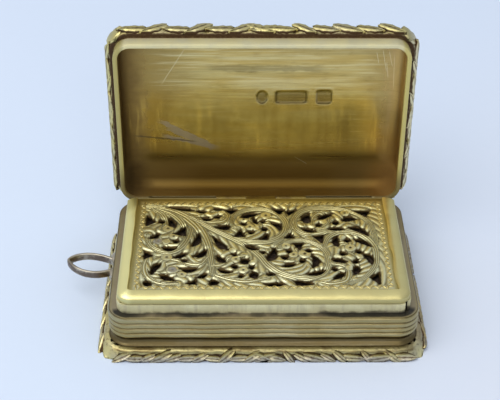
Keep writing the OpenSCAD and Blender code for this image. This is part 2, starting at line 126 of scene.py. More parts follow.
class VinaigretteSizes(bpy.types.PropertyGroup):
    """Sizes of the ornament."""
    wall_corner: length("Wall corner", "Outer corner radius of the reeded wall", 2.6)
    wall_thickness: length("Wall thickness", "Thickness of the reeded wall", 1.1)
    reed_groove: length("Reed groove", "Depth of the grooves between the reeds", 0.16)
    cove_depth: length("Cove depth", "Depth of the cove under the reeds", 0.35)
    cove_height: length("Cove height", "Height of the cove under the reeds", 1.25)
    lid_corner: length("Lid corner", "Outer corner radius of the lid wall", 2.2)
    lid_thickness: length("Lid thickness", "Thickness of the lid wall", 0.6)
    lid_cove: length("Lid cove", "Radius of the cove inside the lid", 1.2)
    frame_corner: length("Frame corner", "Outer corner radius of the grille moulding", 1.6)
    frame_width: length("Frame width", "Width of the rounded top of the grille moulding", 1.3)
    lid_leaf_pitch: length("Lid leaf pitch", "Distance between the leaves round the lid", 2.4)
    lid_leaf_length: length("Lid leaf length", "Length of one leaf of the lid", 3.7)
    lid_leaf_width: length("Lid leaf width", "Width of one leaf of the lid", 1.5)
    foot_leaf_pitch: length("Foot leaf pitch", "Distance between the leaves round the foot", 1.55)
    foot_leaf_length: length("Foot leaf length", "Length of one leaf of the foot", 2.5)
    foot_leaf_width: length("Foot leaf width", "Width of one leaf of the foot", 1.1)
    bead_pitch: length("Bead pitch", "Distance between the zigzag cuts round the grille", 0.5)
    relief: length("Relief", "Height of the scrollwork over its ground", 0.23)
    punch_depth: length("Punch depth", "Depth of the blank punch marks inside the lid", 0.1)
    ribbon: length("Ribbon thickness", "Thickness of the ribbon of the suspension loop", 0.42)
    ribbon_width: length("Ribbon width", "Width of the ribbon of the suspension loop", 1.06)
    loop_half_width: length("Loop half width", "Half the outer width of the loop before it draws in", 2.3)
    loop_neck: length("Loop neck", "How far each side of the loop draws in next to the wall", 1.2)


class VinaigretteColours(bpy.types.PropertyGroup):
    """Colours of the finishes and the stage."""
    pale_gilt: tint("Pale gilt", "Bright gilding on the grille's moulding", (0.72, 0.63, 0.28))
    warm_gilt: tint("Warm gilt", "Gilding inside the lid", (0.58, 0.42, 0.13))
    olive_gilt: tint("Olive gilt", "Rubbed gilding on the wall", (0.36, 0.30, 0.14))
    silver: tint("Silver", "Bare silver where the gilding is gone", (0.60, 0.56, 0.46))
    # Brown of tarnished silver, which also paints shade in grooves and hollows
    tarnish: tint("Tarnish", "Brown tarnish in grooves and hollows", (0.075, 0.048, 0.018))
    # Near black, so that the sponge also paints the shade under the grille
    sponge: tint("Sponge", "Dry sponge under the grille", (0.05, 0.03, 0.014))
    floor: tint("Floor", "Pale floor under the box", (0.64, 0.728, 0.87))


def sizes():
    """The size properties in millimetres."""
    group = bpy.context.scene.vinaigrette_sizes
    return {key: getattr(group, key) / MM for key in VinaigretteSizes.__annotations__}


def colours():
    """The colour properties."""
    group = bpy.context.scene.vinaigrette_colours
    return {key: tuple(getattr(group, key)) for key in VinaigretteColours.__annotations__}


# Shader arithmetic

class Wire:
    """A socket in a node tree; arithmetic on it adds Math nodes."""

    def __init__(self, tree, socket=None):
        self.tree = tree
        self.socket = socket

    def node(self, kind, settings=None, inputs=None, output=0):
        """Adds a node, sets it up, feeds its sockets and returns one of its outputs."""
        made = self.tree.nodes.new(kind)
        for key, value in (settings or {}).items():
            setattr(made, key, value)
        for key, value in (inputs or {}).items():
            if isinstance(value, Wire):
                self.tree.links.new(value.socket, made.inputs[key])
            else:
                made.inputs[key].default_value = value
        return Wire(self.tree, made.outputs[output])

    def math(self, operation, *values):
        """A Math node on this value and others."""
        return self.node("ShaderNodeMath", {"operation": operation}, dict(enumerate((self, *values))))

    def __add__(self, other):
        return self.math("ADD", other)

    __radd__ = __add__

    def __sub__(self, other):
        return self.math("SUBTRACT", other)

    def __rsub__(self, other):
        return self.math("MULTIPLY_ADD", -1.0, other)

    def __mul__(self, other):
        return self.math("MULTIPLY", other)

    __rmul__ = __mul__

    def __abs__(self):
        return self.math("ABSOLUTE")

    def band(self, low, high):
        """0 at low, 1 at high, smooth between; low may be the larger one."""
        return self.node("ShaderNodeMapRange", {"interpolation_type": "SMOOTHSTEP"},
                         {"Value": self, "From Min": low, "From Max": high})

    def mix(self, first, second):
        """A colour between two, with this value as the share of the second."""
        ends = [colour if isinstance(colour, Wire) else (*colour, 1.0) for colour in (first, second)]
        return self.node("ShaderNodeMix", {"data_type": "RGBA"}, {0: self, 6: ends[0], 7: ends[1]}, 2)


class Finish:
    """A material under way: its coordinates in millimetres, and helpers for its patterns."""

    def __init__(self, name):
        self.material = bpy.data.materials.new(name)
        self.material.use_nodes = True
        self.tree = self.material.node_tree
        self.shader = self.tree.nodes["Principled BSDF"]
        self.start = Wire(self.tree)
        place = self.start.node("ShaderNodeTexCoord", output=3)
        self.mm = self.start.node("ShaderNodeVectorMath", {"operation": "SCALE"}, {0: place, "Scale": 1 / MM})
        self.x, self.y, self.z = (self.start.node("ShaderNodeSeparateXYZ", None, {0: self.mm}, axis)
                                  for axis in range(3))

    def noise(self, scale, detail=3.0, stretch=(1.0, 1.0, 1.0)):
        """Cloudy noise; scale is features per millimetre before the stretch of each axis."""
        place = self.start.node("ShaderNodeVectorMath", {"operation": "MULTIPLY"}, {0: self.mm, 1: stretch})
        return self.start.node("ShaderNodeTexNoise", None,
                               {"Vector": place, "Scale": scale, "Detail": detail, "Roughness": 0.55})

    def attribute(self, name):
        """A number kept on the mesh's vertices."""
        return self.start.node("ShaderNodeAttribute", {"attribute_name": name}, None, 2)

    def bump(self, height, distance):
        """A bump; distance is the height in millimetres of a step of one."""
        return self.start.node("ShaderNodeBump", None,
                               {"Height": height, "Distance": distance * MM, "Strength": 1.0})

    def smear(self, start, end, width, wander):
        """A smear between two places (x, z) on an upright face, with a ragged edge and faded ends."""
        (x0, z0), (x1, z1) = start, end
        run = math.hypot(x1 - x0, z1 - z0)
        ux, uz = (x1 - x0) / run, (z1 - z0) / run
        along = self.x * ux + self.z * uz - (x0 * ux + z0 * uz)
        across = self.z * ux - self.x * uz - (z0 * ux - x0 * uz) + (wander - 0.5) * (2.4 * width)
        ends = along.band(-0.08 * run, 0.12 * run) * along.band(run, 0.8 * run)
        return abs(across).band(width, 0.45 * width) * ends

    def smears(self, rows, wander):
        """Several smears as one; each row is a start, an end and a width."""
        return reduce(lambda one, more: one.math("MAXIMUM", more), [self.smear(*row, wander) for row in rows])

    def paint(self, colour, layers):
        """Layers over a first colour; each is a label, the share that it covers, and its own colour."""
        for label, share, over in layers:
            colour = share.mix(colour, over)
            colour.socket.node.label = label
        return colour

    def done(self, colour, roughness, metallic=1.0, normal=None):
        """Feeds the shader and returns the material."""
        given = {"Base Color": colour, "Roughness": roughness, "Metallic": metallic, "Normal": normal}
        for key, value in given.items():
            if isinstance(value, Wire):
                self.tree.links.new(value.socket, self.shader.inputs[key])
            elif value is not None:
                self.shader.inputs[key].default_value = value
        return self.material


# Finishes; places on them are in millimetres

# Rubbed streaks inside the lid: from (x, height), to (x, height), width
RUBS = (
    ((-13.4, 16.4), (-5.2, 11.9), 0.4),
    ((-12.4, 15.3), (-5.4, 12.0), 0.45),
    ((-13.0, 14.2), (-5.4, 12.0), 0.4),
)
# Scratches inside the lid, a few of them parallel at the upper right, and their width
SCRATCHES = (
    ((4.6, 10.8), (6.4, 9.6)),
    ((14.7, 26.6), (15.1, 24.9)),
    ((15.5, 26.9), (16.2, 23.6)),
    ((16.3, 26.7), (16.9, 24.4)),
    ((17.0, 26.2), (17.2, 21.0)),
    ((16.1, 25.2), (16.4, 22.8)),
    ((-9.9, 27.0), (-13.2, 21.6)),
)
SCRATCH_WIDTH = 0.05
# Bare silver spots on the grille: x, y
BARE_SPOTS = ((-13.25, 0.3), (-11.15, -5.3))


def lid_stains_and_painted_light(f, cloud, streak, stain, coves):
    """Broad tones inside the lid: random stains, and painted shade towards the bottom, the hinge, the sides,
    the upper edge, the coves and the lower right corner, with a painted glint and a painted sheen in the
    right cove.
    """
    hinge, left, right = coves
    level = f.z + (cloud - 0.5) * 6.0 + (stain - 0.5) * 2.0
    clouded = f.x + (cloud - 0.5) * 6.0
    blotchy_x = f.x + (stain - 0.5) * 4.0
    streaked = f.z + (streak - 0.5) * 2.0
    glint = f.smear((-4.0, 21.8), (13.0, 22.4), 0.9, cloud)
    # Apart from the stains, these layers are painted light: painted shade, a painted glint, and a painted
    # sheen in the right cove
    return [
        ("stains", stain.band(0.5, 0.75) * 0.45, (0.34, 0.24, 0.07)),
        ("lower half", level.band(23.0, 17.0) * 0.55, (0.33, 0.235, 0.062)),
        ("lowest third", level.band(15.0, 9.5) * 0.55, (0.33, 0.21, 0.055)),
        ("hinge side", hinge * 0.9, (0.175, 0.10, 0.018)),
        ("left side", clouded.band(-6.5, -15.5) * 0.8, (0.29, 0.19, 0.055)),
        ("right side", blotchy_x.band(12.0, 16.5) * 0.55, (0.33, 0.22, 0.07)),
        ("upper edge", streaked.band(25.8, 27.6) * 0.5, (0.28, 0.20, 0.07)),
        ("glint", glint * 0.4, (0.80, 0.68, 0.34)),
        ("left cove", left * 0.75, (0.19, 0.12, 0.045)),
        ("left edge", f.x.band(-16.9, -17.6) * 0.3, (0.07, 0.045, 0.018)),
        ("right cove", right * 0.6, (0.68, 0.49, 0.22)),
        ("right shade", f.x.band(8.0, 12.0) * f.z.band(20.0, 17.0) * 0.45, (0.24, 0.16, 0.05)),
        ("lower right corner", f.x.band(13.0, 16.5) * f.z.band(17.0, 13.0) * 0.6, (0.33, 0.18, 0.04)),
    ]


def lid_brushing(f, brush, stain):
    """Marks of the brush: level strokes above, upright streaks across the middle, and hairlines."""
    strokes = f.noise(1.0, 4.0, (0.13, 1.0, 3.6))
    streaks = f.noise(1.0, 3.0, (0.9, 1.0, 0.12))
    aside = abs(f.x - 1.0)
    above = f.z.band(18.5, 22.0) * aside.band(16.5, 12.5)
    middle = f.z.band(21.0, 17.5) * f.z.band(11.0, 13.0)
    field = aside.band(15.5, 11.5) * f.z.band(11.0, 14.0)
    smudge = f.smear((-7.2, 24.4), (9.4, 24.2), 0.6, stain)
    return [
        ("dark strokes", strokes.band(0.5, 0.72) * above * 0.55, (0.33, 0.25, 0.08)),
        ("bright strokes", strokes.band(0.5, 0.3) * above * 0.38, (0.86, 0.77, 0.43)),
        ("dark streaks", streaks.band(0.48, 0.7) * middle * 0.4, (0.30, 0.20, 0.05)),
        ("bright streaks", streaks.band(0.48, 0.3) * middle * 0.35, (0.74, 0.53, 0.14)),
        ("smudge", smudge * 0.5, (0.22, 0.17, 0.07)),
        ("dark hairlines", brush.band(0.52, 0.72) * 0.3, (0.27, 0.19, 0.055)),
        ("bright hairlines", brush.band(0.46, 0.28) * field * 0.3, (0.84, 0.70, 0.32)),
    ]


def lid_gilt():
    """Brushed gilding inside the lid, with rubbed grey streaks and scratches, painted shade in its coves and
    round its punch marks, and a painted sheen in its right cove.
    """
    f = Finish("lid_gilt")
    cloud = f.noise(0.14, 4.0)
    streak = f.noise(1.0, 4.0, (0.07, 0.5, 1.3))
    brush = f.noise(1.0, 3.0, (0.2, 1.0, 12.0))
    stain = f.noise(0.45, 4.0, (1.0, 1.0, 1.8))
    rag = f.noise(0.9, 4.0, (1.0, 1.0, 1.4))
    blotchy_x = f.x + (stain - 0.5) * 3.0
    # The coves: painted shade on the hinge side and the left, a painted sheen on the right; they are rougher
    # as well
    hinge, left, right = f.z.band(11.0, 8.8), blotchy_x.band(-14.0, -17.4), blotchy_x.band(15.4, 17.4)
    rub = f.smears(RUBS, rag)
    line = f.smear((-16.8, 14.15), (-8.0, 13.2), 0.16, rag)
    scratches = f.smears([(*ends, SCRATCH_WIDTH) for ends in SCRATCHES], f.noise(0.5, 2.0))
    layers = lid_stains_and_painted_light(f, cloud, streak, stain, (hinge, left, right)) + lid_brushing(f, brush, stain) + [
        ("rubbed grey", rub * 0.62, (0.34, 0.29, 0.25)),
        ("dark line", line * 0.7, (0.10, 0.075, 0.05)),
        ("scratches", scratches * 0.45, (0.88, 0.80, 0.50)),
        # Painted shade round and inside the blank punch marks
        ("punch edges", f.attribute("hollow") * 0.9, (0.05, 0.03, 0.012)),
    ]
    base = f.paint(streak.band(0.3, 0.72).mix(colours()["warm_gilt"], (0.60, 0.49, 0.20)), layers)
    rough = 0.16 + streak * 0.08 + rub * 0.2 + f.z.band(16.0, 12.0) * 0.08
    rough = rough + left * 0.3 + right * 0.25 + hinge * 0.4
    return f.done(base, rough, 1.0, f.bump(brush * 0.12 + streak * 0.8 + cloud * 3.0, 0.011))


def rim_gilt():
    """Pale rubbed gilding on the outside of the lid's wall and its rim, with coppery painted shadow under the
    border, and painted shade in the rim's mouth, on its sides and towards the hinge.
    """
    f = Finish("rim_gilt")
    cloud = f.noise(0.4, 4.0)
    streak = f.noise(1.0, 3.0, (0.3, 3.0, 3.0))
    hollow = f.attribute("hollow") + (cloud - 0.5) * 0.4
    base = f.paint(cloud.band(0.35, 0.7).mix((0.74, 0.67, 0.37), (0.65, 0.61, 0.39)), [
        ("streaks", streak.band(0.5, 0.8) * 0.3, (0.55, 0.42, 0.18)),
        # Painted shadow under the border and painted shade inside the rim's mouth
        ("hollows", hollow.band(0.35, 0.75) * 0.9, (0.22, 0.11, 0.05)),
        # Painted shade on the sides, deeper on the left, and towards the hinge
        ("sides", abs(f.x).band(17.4, 18.0) * 0.8, (0.54, 0.46, 0.13)),
        ("left side", f.x.band(-17.2, -17.6) * 0.5, (0.30, 0.255, 0.095)),
        ("hinge side", f.z.band(12.0, 8.2) * 0.85, (0.20, 0.15, 0.05)),
    ])
    return f.done(base, 0.4 + cloud * 0.15, 0.5, f.bump(streak + cloud, 0.012))


def outer_gilt():
    """Worn gilding with fine engine turning on the outside of the lid and the underside."""
    f = Finish("outer_gilt")
    cloud = f.noise(0.22, 4.0)
    fine = f.noise(2.5, 4.0)
    sway = (f.z * 2.2).math("SINE") * 0.32
    barley = ((f.x + sway) * 8.0).math("SINE")
    field = abs(f.x).band(16.4, 16.2) * abs(f.z - LID_MIDDLE).band(9.6, 9.4)
    cut = barley.band(-0.5, 0.6) * field
    base = f.paint((cloud.band(0.3, 0.75) * 0.45).mix((0.56, 0.45, 0.19), colours()["silver"]), [
        ("engine turning", cut * 0.4, (0.20, 0.14, 0.06)),
        ("specks", fine.band(0.6, 0.8) * 0.35, (0.22, 0.16, 0.08)),
    ])
    return f.done(base, 0.3 + cloud * 0.14, 1.0, f.bump(cut * 2.0 + fine * 0.5, 0.025))


def wall_gilt():
    """Rubbed gilding on the reeds: olive grey on the crests, brown in the grooves and the cove, tarnished and
    in painted shade, and a blotchy painted shadow on the ledge.
    """
    c = colours()
    f = Finish("wall_gilt")
    cloud = f.noise(0.25, 4.0)
    streak = f.noise(1.0, 3.0, (0.16, 0.16, 5.0))
    fine = f.noise(4.0, 3.0, (0.6, 0.6, 1.6))
    ledge = f.attribute("ledge")
    # Tarnished grooves and cove, darkened further with painted shade
    groove = f.attribute("hollow") + (streak - 0.5) * 0.5 + (fine - 0.5) * 0.3
    # Painted shadow on the ledge under the grille's moulding: blotchy, deepest along the front and towards
    # its right and left ends
    front = f.y.band(-9.0, -10.6) * (f.x.band(4.0, 12.0) * 0.35 + f.x.band(-13.0, -17.0) * 0.3 + 0.55)
    blotchy_shadow = ledge * (0.3 + front) + (f.noise(0.18, 4.0) - 0.5) * 1.4
    # Painted shade on the ledge, greyer on its sides
    shaded_ledge = abs(f.x).band(17.0, 17.8).mix((0.30, 0.235, 0.18), (0.21, 0.175, 0.15))
    base = f.paint(cloud.band(0.35, 0.7).mix(c["olive_gilt"], (0.43, 0.38, 0.215)), [
        ("gold streaks", streak.band(0.42, 0.75) * 0.55, (0.42, 0.33, 0.12)),
        ("grooves", groove.band(0.2, 1.0) * 0.8, c["tarnish"]),
        ("ledge", ledge * 0.6, shaded_ledge),
        ("blotchy_shadow", blotchy_shadow.band(0.45, 1.0), (0.03, 0.027, 0.022)),
        ("specks", fine.band(0.58, 0.8) * 0.3, (0.20, 0.15, 0.08)),
    ])
    return f.done(base, 0.26 + streak * 0.16, 1.0 - ledge * 0.5, f.bump(streak * 1.4 + fine * 0.4, 0.014))


def leaf_gilt():
    """Cast leaves: bright on the tips, brown black painted shade in the cuts, rubbed round the foot, with
    painted highlights on the foot's front corners.
    """
    f = Finish("leaf_gilt")
    hollow = f.attribute("hollow")
    cloud = f.noise(0.3, 4.0)
    fine = f.noise(3.0, 4.0)
    level = f.noise(1.0, 4.0, (0.35, 0.35, 5.0))
    aside = abs(f.x)
    foot = f.z.band(2.4, 1.6)
    # The foot is rubbed: yellow above, grey below; its front corners take a painted highlight
    rubbed = f.z.band(0.55, 1.05).mix((0.46, 0.42, 0.335), (0.50, 0.445, 0.20))
    patches = aside.band(18.6, 17.2) * (f.noise(0.5, 4.0).band(0.35, 0.6) * 0.5 + 0.45)
    right_end = f.x.band(18.2, 19.2) * f.y.band(-11.6, -10.6)
    fillet = f.z.band(0.85, 1.15) * aside.band(18.8, 18.0) * (level.band(0.42, 0.62) * 0.6 + 0.28)
    corners = aside.band(18.5, 19.3) * f.y.band(-11.3, -12.2)
    base = f.paint(cloud.band(0.35, 0.7).mix((0.70, 0.61, 0.265), (0.57, 0.515, 0.315)), [
        ("rubbed foot", foot * patches, rubbed),
        ("right end of the foot", foot * right_end * 0.6, (0.26, 0.20, 0.15)),
        ("specks on the foot", foot * fine.band(0.5, 0.72) * 0.6, (0.17, 0.125, 0.09)),
        ("fillet of the foot", foot * fillet, (0.17, 0.12, 0.05)),
        # Painted highlight on the front corners of the foot
        ("corners of the foot", foot * corners * 0.7, (0.86, 0.78, 0.40)),
        ("right side of the lid", f.x.band(18.4, 19.0) * f.z.band(4.0, 8.0) * 0.6, (0.80, 0.74, 0.52)),
        ("upper edge of the lid", f.z.band(28.4, 29.4) * 0.3, (0.42, 0.36, 0.13)),
        # Painted shade in the cuts and under the leaves
        ("cuts", (hollow + (fine - 0.5) * 0.5).band(0.3, 0.95), (0.085, 0.05, 0.028)),
    ])
    return f.done(base, 0.26 + cloud * 0.12 + hollow * 0.25, 1.0, f.bump(fine, 0.02))


def scroll_gilt():
    """Chased scrollwork: pale crests, engraved lines in painted shade, brown in the hollows, tarnished and in
    painted shade; a plain olive margin, tarnished and in painted shade, darker towards the back; painted
    reflections, pale at the front and yellow at the back.
    """
    f = Finish("scroll_gilt")
    hollow, flute, stem, margin = (f.attribute(key) for key in ("hollow", "flute", "stem", "margin"))
    fine = f.noise(2.6, 4.0)
    cloud = f.noise(0.22, 3.0)
    line = (flute * (2 * math.pi)).math("COSINE") * 0.5 + 0.5
    cut = (1.0 - line).band(0.35, 0.95) * stem
    # The margin is tarnished olive with painted shade, darker towards the back
    olive = f.y.band(7.4, 8.3).mix((0.40, 0.325, 0.08), (0.20, 0.155, 0.028))
    layers = [
        # Painted reflections: paler towards the front, yellower towards the back
        ("pale front", f.y.band(3.0, -8.0) * 0.6, (0.84, 0.83, 0.57)),
        ("yellow back", f.y.band(1.0, 7.0) * 0.55, (0.74, 0.64, 0.25)),
        ("margin", margin * 0.8, olive),
        # Painted shade in the engraved lines
        ("engraved lines", cut * 0.7, (0.22, 0.18, 0.065)),
        # Tarnished, with painted shade near the hole edges, on the low ground and along the outlines
        ("hollows", (hollow + (fine - 0.5) * 0.4).band(0.2, 0.85), colours()["tarnish"]),
    ]
    ragged = (f.noise(1.0, 2.0) - 0.5) * 0.3
    for x, y in BARE_SPOTS:
        reach = ((f.x - x) * (f.x - x) + (f.y - y) * (f.y - y)).math("SQRT") + ragged
        layers.append(("bare spot", reach.band(0.7, 0.45) * 0.7, (0.40, 0.40, 0.42)))
    base = f.paint(cloud.band(0.35, 0.7).mix((0.77, 0.75, 0.45), (0.80, 0.775, 0.43)), layers)
    return f.done(base, 0.36 + cloud * 0.1 + hollow * 0.2, 1.0, f.bump(line * stem * 1.6 + fine * 0.5, 0.04))


def bead_gilt():
    """Bright cuts of the zigzag round the grille, with painted shade on their lower sides, darker towards the
    back.
    """
    f = Finish("bead_gilt")
    fine = f.noise(2.5, 3.0)
    base = f.paint(fine.band(0.3, 0.7).mix((0.70, 0.60, 0.26), (0.58, 0.47, 0.18)), [
        ("hollows", f.attribute("hollow") * 0.8, (0.20, 0.14, 0.05)),
        ("back", f.y.band(7.4, 8.0) * 0.5, (0.30, 0.23, 0.06)),
    ])
    return f.done(base, 0.3 + fine * 0.1, 1.0, f.bump(fine, 0.012))


def frame_gilt():
    """Bright smooth gilding on the grille's moulding, with a painted highlight on its left bar, painted shade
    in its hollows, and darker olive towards the back at the left.
    """
    f = Finish("frame_gilt")
    cloud = f.noise(0.3, 4.0)
    streak = f.noise(1.0, 3.0, (0.35, 0.35, 4.0))
    fine = f.noise(3.0, 3.0)
    back = (f.y + (cloud - 0.5) * 4.0).band(5.5, 9.2) * f.x.band(4.0, -4.0)
    base = f.paint(cloud.band(0.3, 0.75).mix((0.76, 0.68, 0.31), colours()["pale_gilt"]), [
        ("streaks", streak.band(0.55, 0.85) * 0.4, (0.58, 0.50, 0.26)),
        ("specks", fine.band(0.62, 0.8) * 0.2, (0.40, 0.32, 0.14)),
        # Painted highlight on the left bar
        ("bright left bar", f.x.band(-15.6, -16.4), (0.98, 0.91, 0.43)),
        ("olive back", back * 0.7, (0.50, 0.42, 0.12)),
        # Painted shade in the hollows of the moulding
        ("hollows", f.attribute("hollow") * 0.7, (0.27, 0.22, 0.08)),
    ])
    return f.done(base, 0.32 + cloud * 0.12, 1.0, f.bump(cloud * 2.5 + streak + fine * 0.3, 0.011))


def bezel_silver():
    """Rubbed pale silver on the bezel, with painted shade towards its foot, where it mirrors the dark ledge,
    and darker on its back strip.
    """
    f = Finish("bezel_silver")
    cloud = f.noise(0.4, 4.0)
    streak = f.noise(1.0, 3.0, (1.6, 1.6, 0.25))
    fine = f.noise(5.0, 3.0)
    # Painted shade and painted reflection of the dark ledge along the foot, reaching higher towards the right
    blotchy_shadow = (cloud * 1.6 - f.z + f.x.band(8.0, 15.0) * 0.25).band(-5.3, -4.8)
    base = f.paint(cloud.band(0.35, 0.7).mix((0.72, 0.68, 0.41), (0.60, 0.55, 0.31)), [
        ("streaks", streak.band(0.45, 0.75) * 0.5, (0.42, 0.37, 0.24)),
        ("blotchy_shadow", blotchy_shadow * 0.85, (0.06, 0.05, 0.04)),
        ("back", f.y.band(8.0, 9.0) * 0.8, (0.24, 0.19, 0.06)),
    ])
    return f.done(base, 0.42 + fine * 0.15, 0.4, f.bump(streak + fine * 0.6, 0.014))


def loop_silver():
    """Bare silver of the loop: bright on its edges, brown-grey and tarnished on its flat faces, with painted
    shade where its ends meet the wall.
    """
    f = Finish("loop_silver")
    cloud = f.noise(0.7, 4.0)
    fine = f.noise(5.0, 3.0)
    dirt_and_shade = f.attribute("hollow") + (cloud - 0.5) * 2.2 + (fine - 0.5) * 0.6
    base = f.paint(cloud.band(0.35, 0.7).mix((0.48, 0.43, 0.34), (0.31, 0.27, 0.205)), [
        ("dirt_and_shade", dirt_and_shade.band(0.3, 1.0) * 0.9, (0.14, 0.10, 0.075)),
    ])
    return f.done(base, 0.24 + fine * 0.15, 1.0, f.bump(cloud + fine * 0.6, 0.02))


def knuckle_gilt():
    """Dull brown gilding on the hinge knuckles."""
    f = Finish("knuckle_gilt")
    cloud = f.noise(0.6, 4.0)
    fine = f.noise(4.0, 3.0)
    base = cloud.band(0.35, 0.7).mix((0.22, 0.165, 0.05), (0.13, 0.09, 0.035))
    return f.done(base, 0.35 + fine * 0.2, 1.0, f.bump(cloud + fine * 0.5, 0.015))


def dull_wire():
    """Dull drawn wire of the hinge pins."""
    f = Finish("dull_wire")
    line = f.noise(1.0, 3.0, (0.3, 7.0, 7.0))
    base = line.band(0.3, 0.75).mix((0.42, 0.40, 0.36), (0.22, 0.19, 0.15))
    return f.done(base, 0.4 + line * 0.15, 1.0, f.bump(line, 0.01))


def sponge_brown():
    """Dry dark sponge with small pores; its near-black colour, darkest in the pores, is also painted shade
    under the grille.
    """
    f = Finish("sponge_brown")
    pores = f.start.node("ShaderNodeTexVoronoi", None, {"Vector": f.mm, "Scale": 1.6})
    fine = f.noise(4.0, 4.0)
    base = pores.band(0.1, 0.45).mix((0.012, 0.007, 0.004), colours()["sponge"])
    return f.done(base, 0.85 + fine * 0.1, 0.0, f.bump(pores * 3.0 + fine, 0.12))


def floor_paper():
    """Plain pale floor, with painted shade that makes it a little darker and warmer towards the right and the
    front.
    """
    f = Finish("floor_paper")
    grain = f.noise(0.6, 3.0)
    # Painted shade: the floor darkens a little towards the right and the front
    base = f.paint((f.x - f.y * 0.6).band(-20.0, 70.0).mix(colours()["floor"], (0.675, 0.71, 0.80)), [
        ("grain", grain.band(0.2, 0.8) * 0.1, (0.60, 0.68, 0.82)),
    ])
    return f.done(base, 0.9, 0.0)


FINISHES = {}


def finish(maker):
    """A finish, made the first time it is asked for."""
    if maker not in FINISHES:
        FINISHES[maker] = maker()
    return FINISHES[maker]


# Mesh tools, in millimetres

# How many points are measured at once, which keeps the memory small
BATCH = 3000
# Room between the hinge's knuckles and the pieces beside them
KNUCKLE_ROOM = 0.07


def bell(values, middle, width):
    """1 at the middle, and smoothly 0 a few widths away from it."""
    return np.exp(-((values - middle) / width) ** 2)


def outward(points, faces):
    """The faces, turned round if the closed shape is inside out."""
    volume = 0.0
    for face in faces:
        a = points[face[0]]
        for i in range(1, len(face) - 1):
            volume += np.dot(a, np.cross(points[face[i]], points[face[i + 1]]))
    return faces if volume > 0 else [tuple(reversed(face)) for face in faces]


def ring_faces(rings, around, start=0, closed=False):
    """Faces between rings of points that follow each other; an open row of rings gets flat ends."""
    faces = []
    for i in range(rings if closed else rings - 1):
        here = start + i * around
        after = start + (i + 1) % rings * around
        for j in range(around):
            k = (j + 1) % around
            faces.append((here + j, after + j, after + k, here + k))
    if not closed:
        last = start + (rings - 1) * around
        faces.append(tuple(range(start, start + around)))
        faces.append(tuple(reversed(range(last, last + around))))
    return faces


def mesh_of(name, points, faces, materials, attributes=None, sharp=35.0, index=None):
    """A smooth-shaded mesh in metres; index says which of the materials each face has."""
    mesh = bpy.data.meshes.new(name)
    mesh.from_pydata((np.asarray(points) * MM).tolist(), [], [tuple(map(int, face)) for face in faces])
    for key, values in (attributes or {}).items():
        layer = mesh.attributes.new(key, "FLOAT", "POINT")
        layer.data.foreach_set("value", np.asarray(values, np.float32))
    for material in materials if isinstance(materials, tuple) else (materials,):
        mesh.materials.append(material)
    if index is not None:
        mesh.polygons.foreach_set("material_index", index)
    mesh.shade_smooth()
    mesh.set_sharp_from_angle(angle=math.radians(sharp))
    mesh.update()
    return mesh


def add_object(name, mesh):
    """An object for a mesh, in the scene."""
    made = bpy.data.objects.new(name, mesh)
    bpy.context.scene.collection.objects.link(made)
    return made


def add_piece(name, mesh, body, slot, *stands_for):
    """A finished piece that rides on a body and stands for solids."""
    made = add_object(name, mesh)
    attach(made, body)
    if stands_for:
        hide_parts(*stands_for)
    return made


def round_path(low, high, radius, corner_steps, spacing):
    """Places and outward directions round a rounded rectangle, from the front end of its right side."""
    places, normals = [], []
    centres = [(high[0] - radius, high[1] - radius), (low[0] + radius, high[1] - radius),
               (low[0] + radius, low[1] + radius), (high[0] - radius, low[1] + radius)]
    quarter = math.pi / 2
    for k in range(4):
        before = np.array(centres[k - 1])
        here = np.array(centres[k])
        out = np.array([math.cos(quarter * k), math.sin(quarter * k)])
        count = max(2, int(np.linalg.norm(here - before) / spacing))
        for i in range(count):
            places.append(before + (here - before) * i / count + out * radius)
            normals.append(out)
        for i in range(corner_steps):
            angle = quarter * (k + i / corner_steps)
            out_i = np.array([math.cos(angle), math.sin(angle)])
            places.append(here + out_i * radius)
            normals.append(out_i)
    return np.array(places), np.array(normals)


def part_of_path(places, normals, keep):
    """The one run of a closed path where keep is true."""
    count = len(places)
    first = [k for k in range(count) if keep[k] and not keep[k - 1]][0]
    run = [(first + i) % count for i in range(count) if keep[(first + i) % count]]
    return places[run], normals[run]


def swept(name, path, profile, materials, sharp=35.0, closed=True, wobble=None, outer=0, shades=("hollow",)):
    """The mesh of a profile carried along a path of places and outward directions.

    A point of the profile is outwards, up and a value for each of the shades. wobble moves the points by
    how far along the path they are. The first strips, as many as outer says, have the second material.
    """
    places, normals = path
    profile = np.asarray(profile, float)
    count, around = len(places), len(profile)
    run = np.concatenate([[0.0], np.cumsum(np.linalg.norm(np.diff(places, axis=0), axis=1))])
    out = np.tile(profile[:, 0], (count, 1))
    up = np.tile(profile[:, 1], (count, 1))
    if wobble is not None:
        out, up = wobble(run[:, None], out, up)
    points = np.zeros((count, around, 3))
    points[..., :2] = places[:, None, :] + normals[:, None, :] * out[..., None]
    points[..., 2] = up
    points = points.reshape(-1, 3)
    faces = outward(points, ring_faces(count, around, closed=closed))
    values = {key: np.tile(profile[:, 2 + k], count) for k, key in enumerate(shades)}
    index = [int(k % around < outer) for k in range(len(faces))] if outer else None
    return mesh_of(name, points, faces, materials, values, sharp, index)


def baked(maker):
    """The plain mesh that an object's modifiers give; the object goes."""
    bpy.context.view_layer.update()
    graph = bpy.context.evaluated_depsgraph_get()
    mesh = bpy.data.meshes.new_from_object(maker.evaluated_get(graph))
    bpy.data.objects.remove(maker)
    return mesh


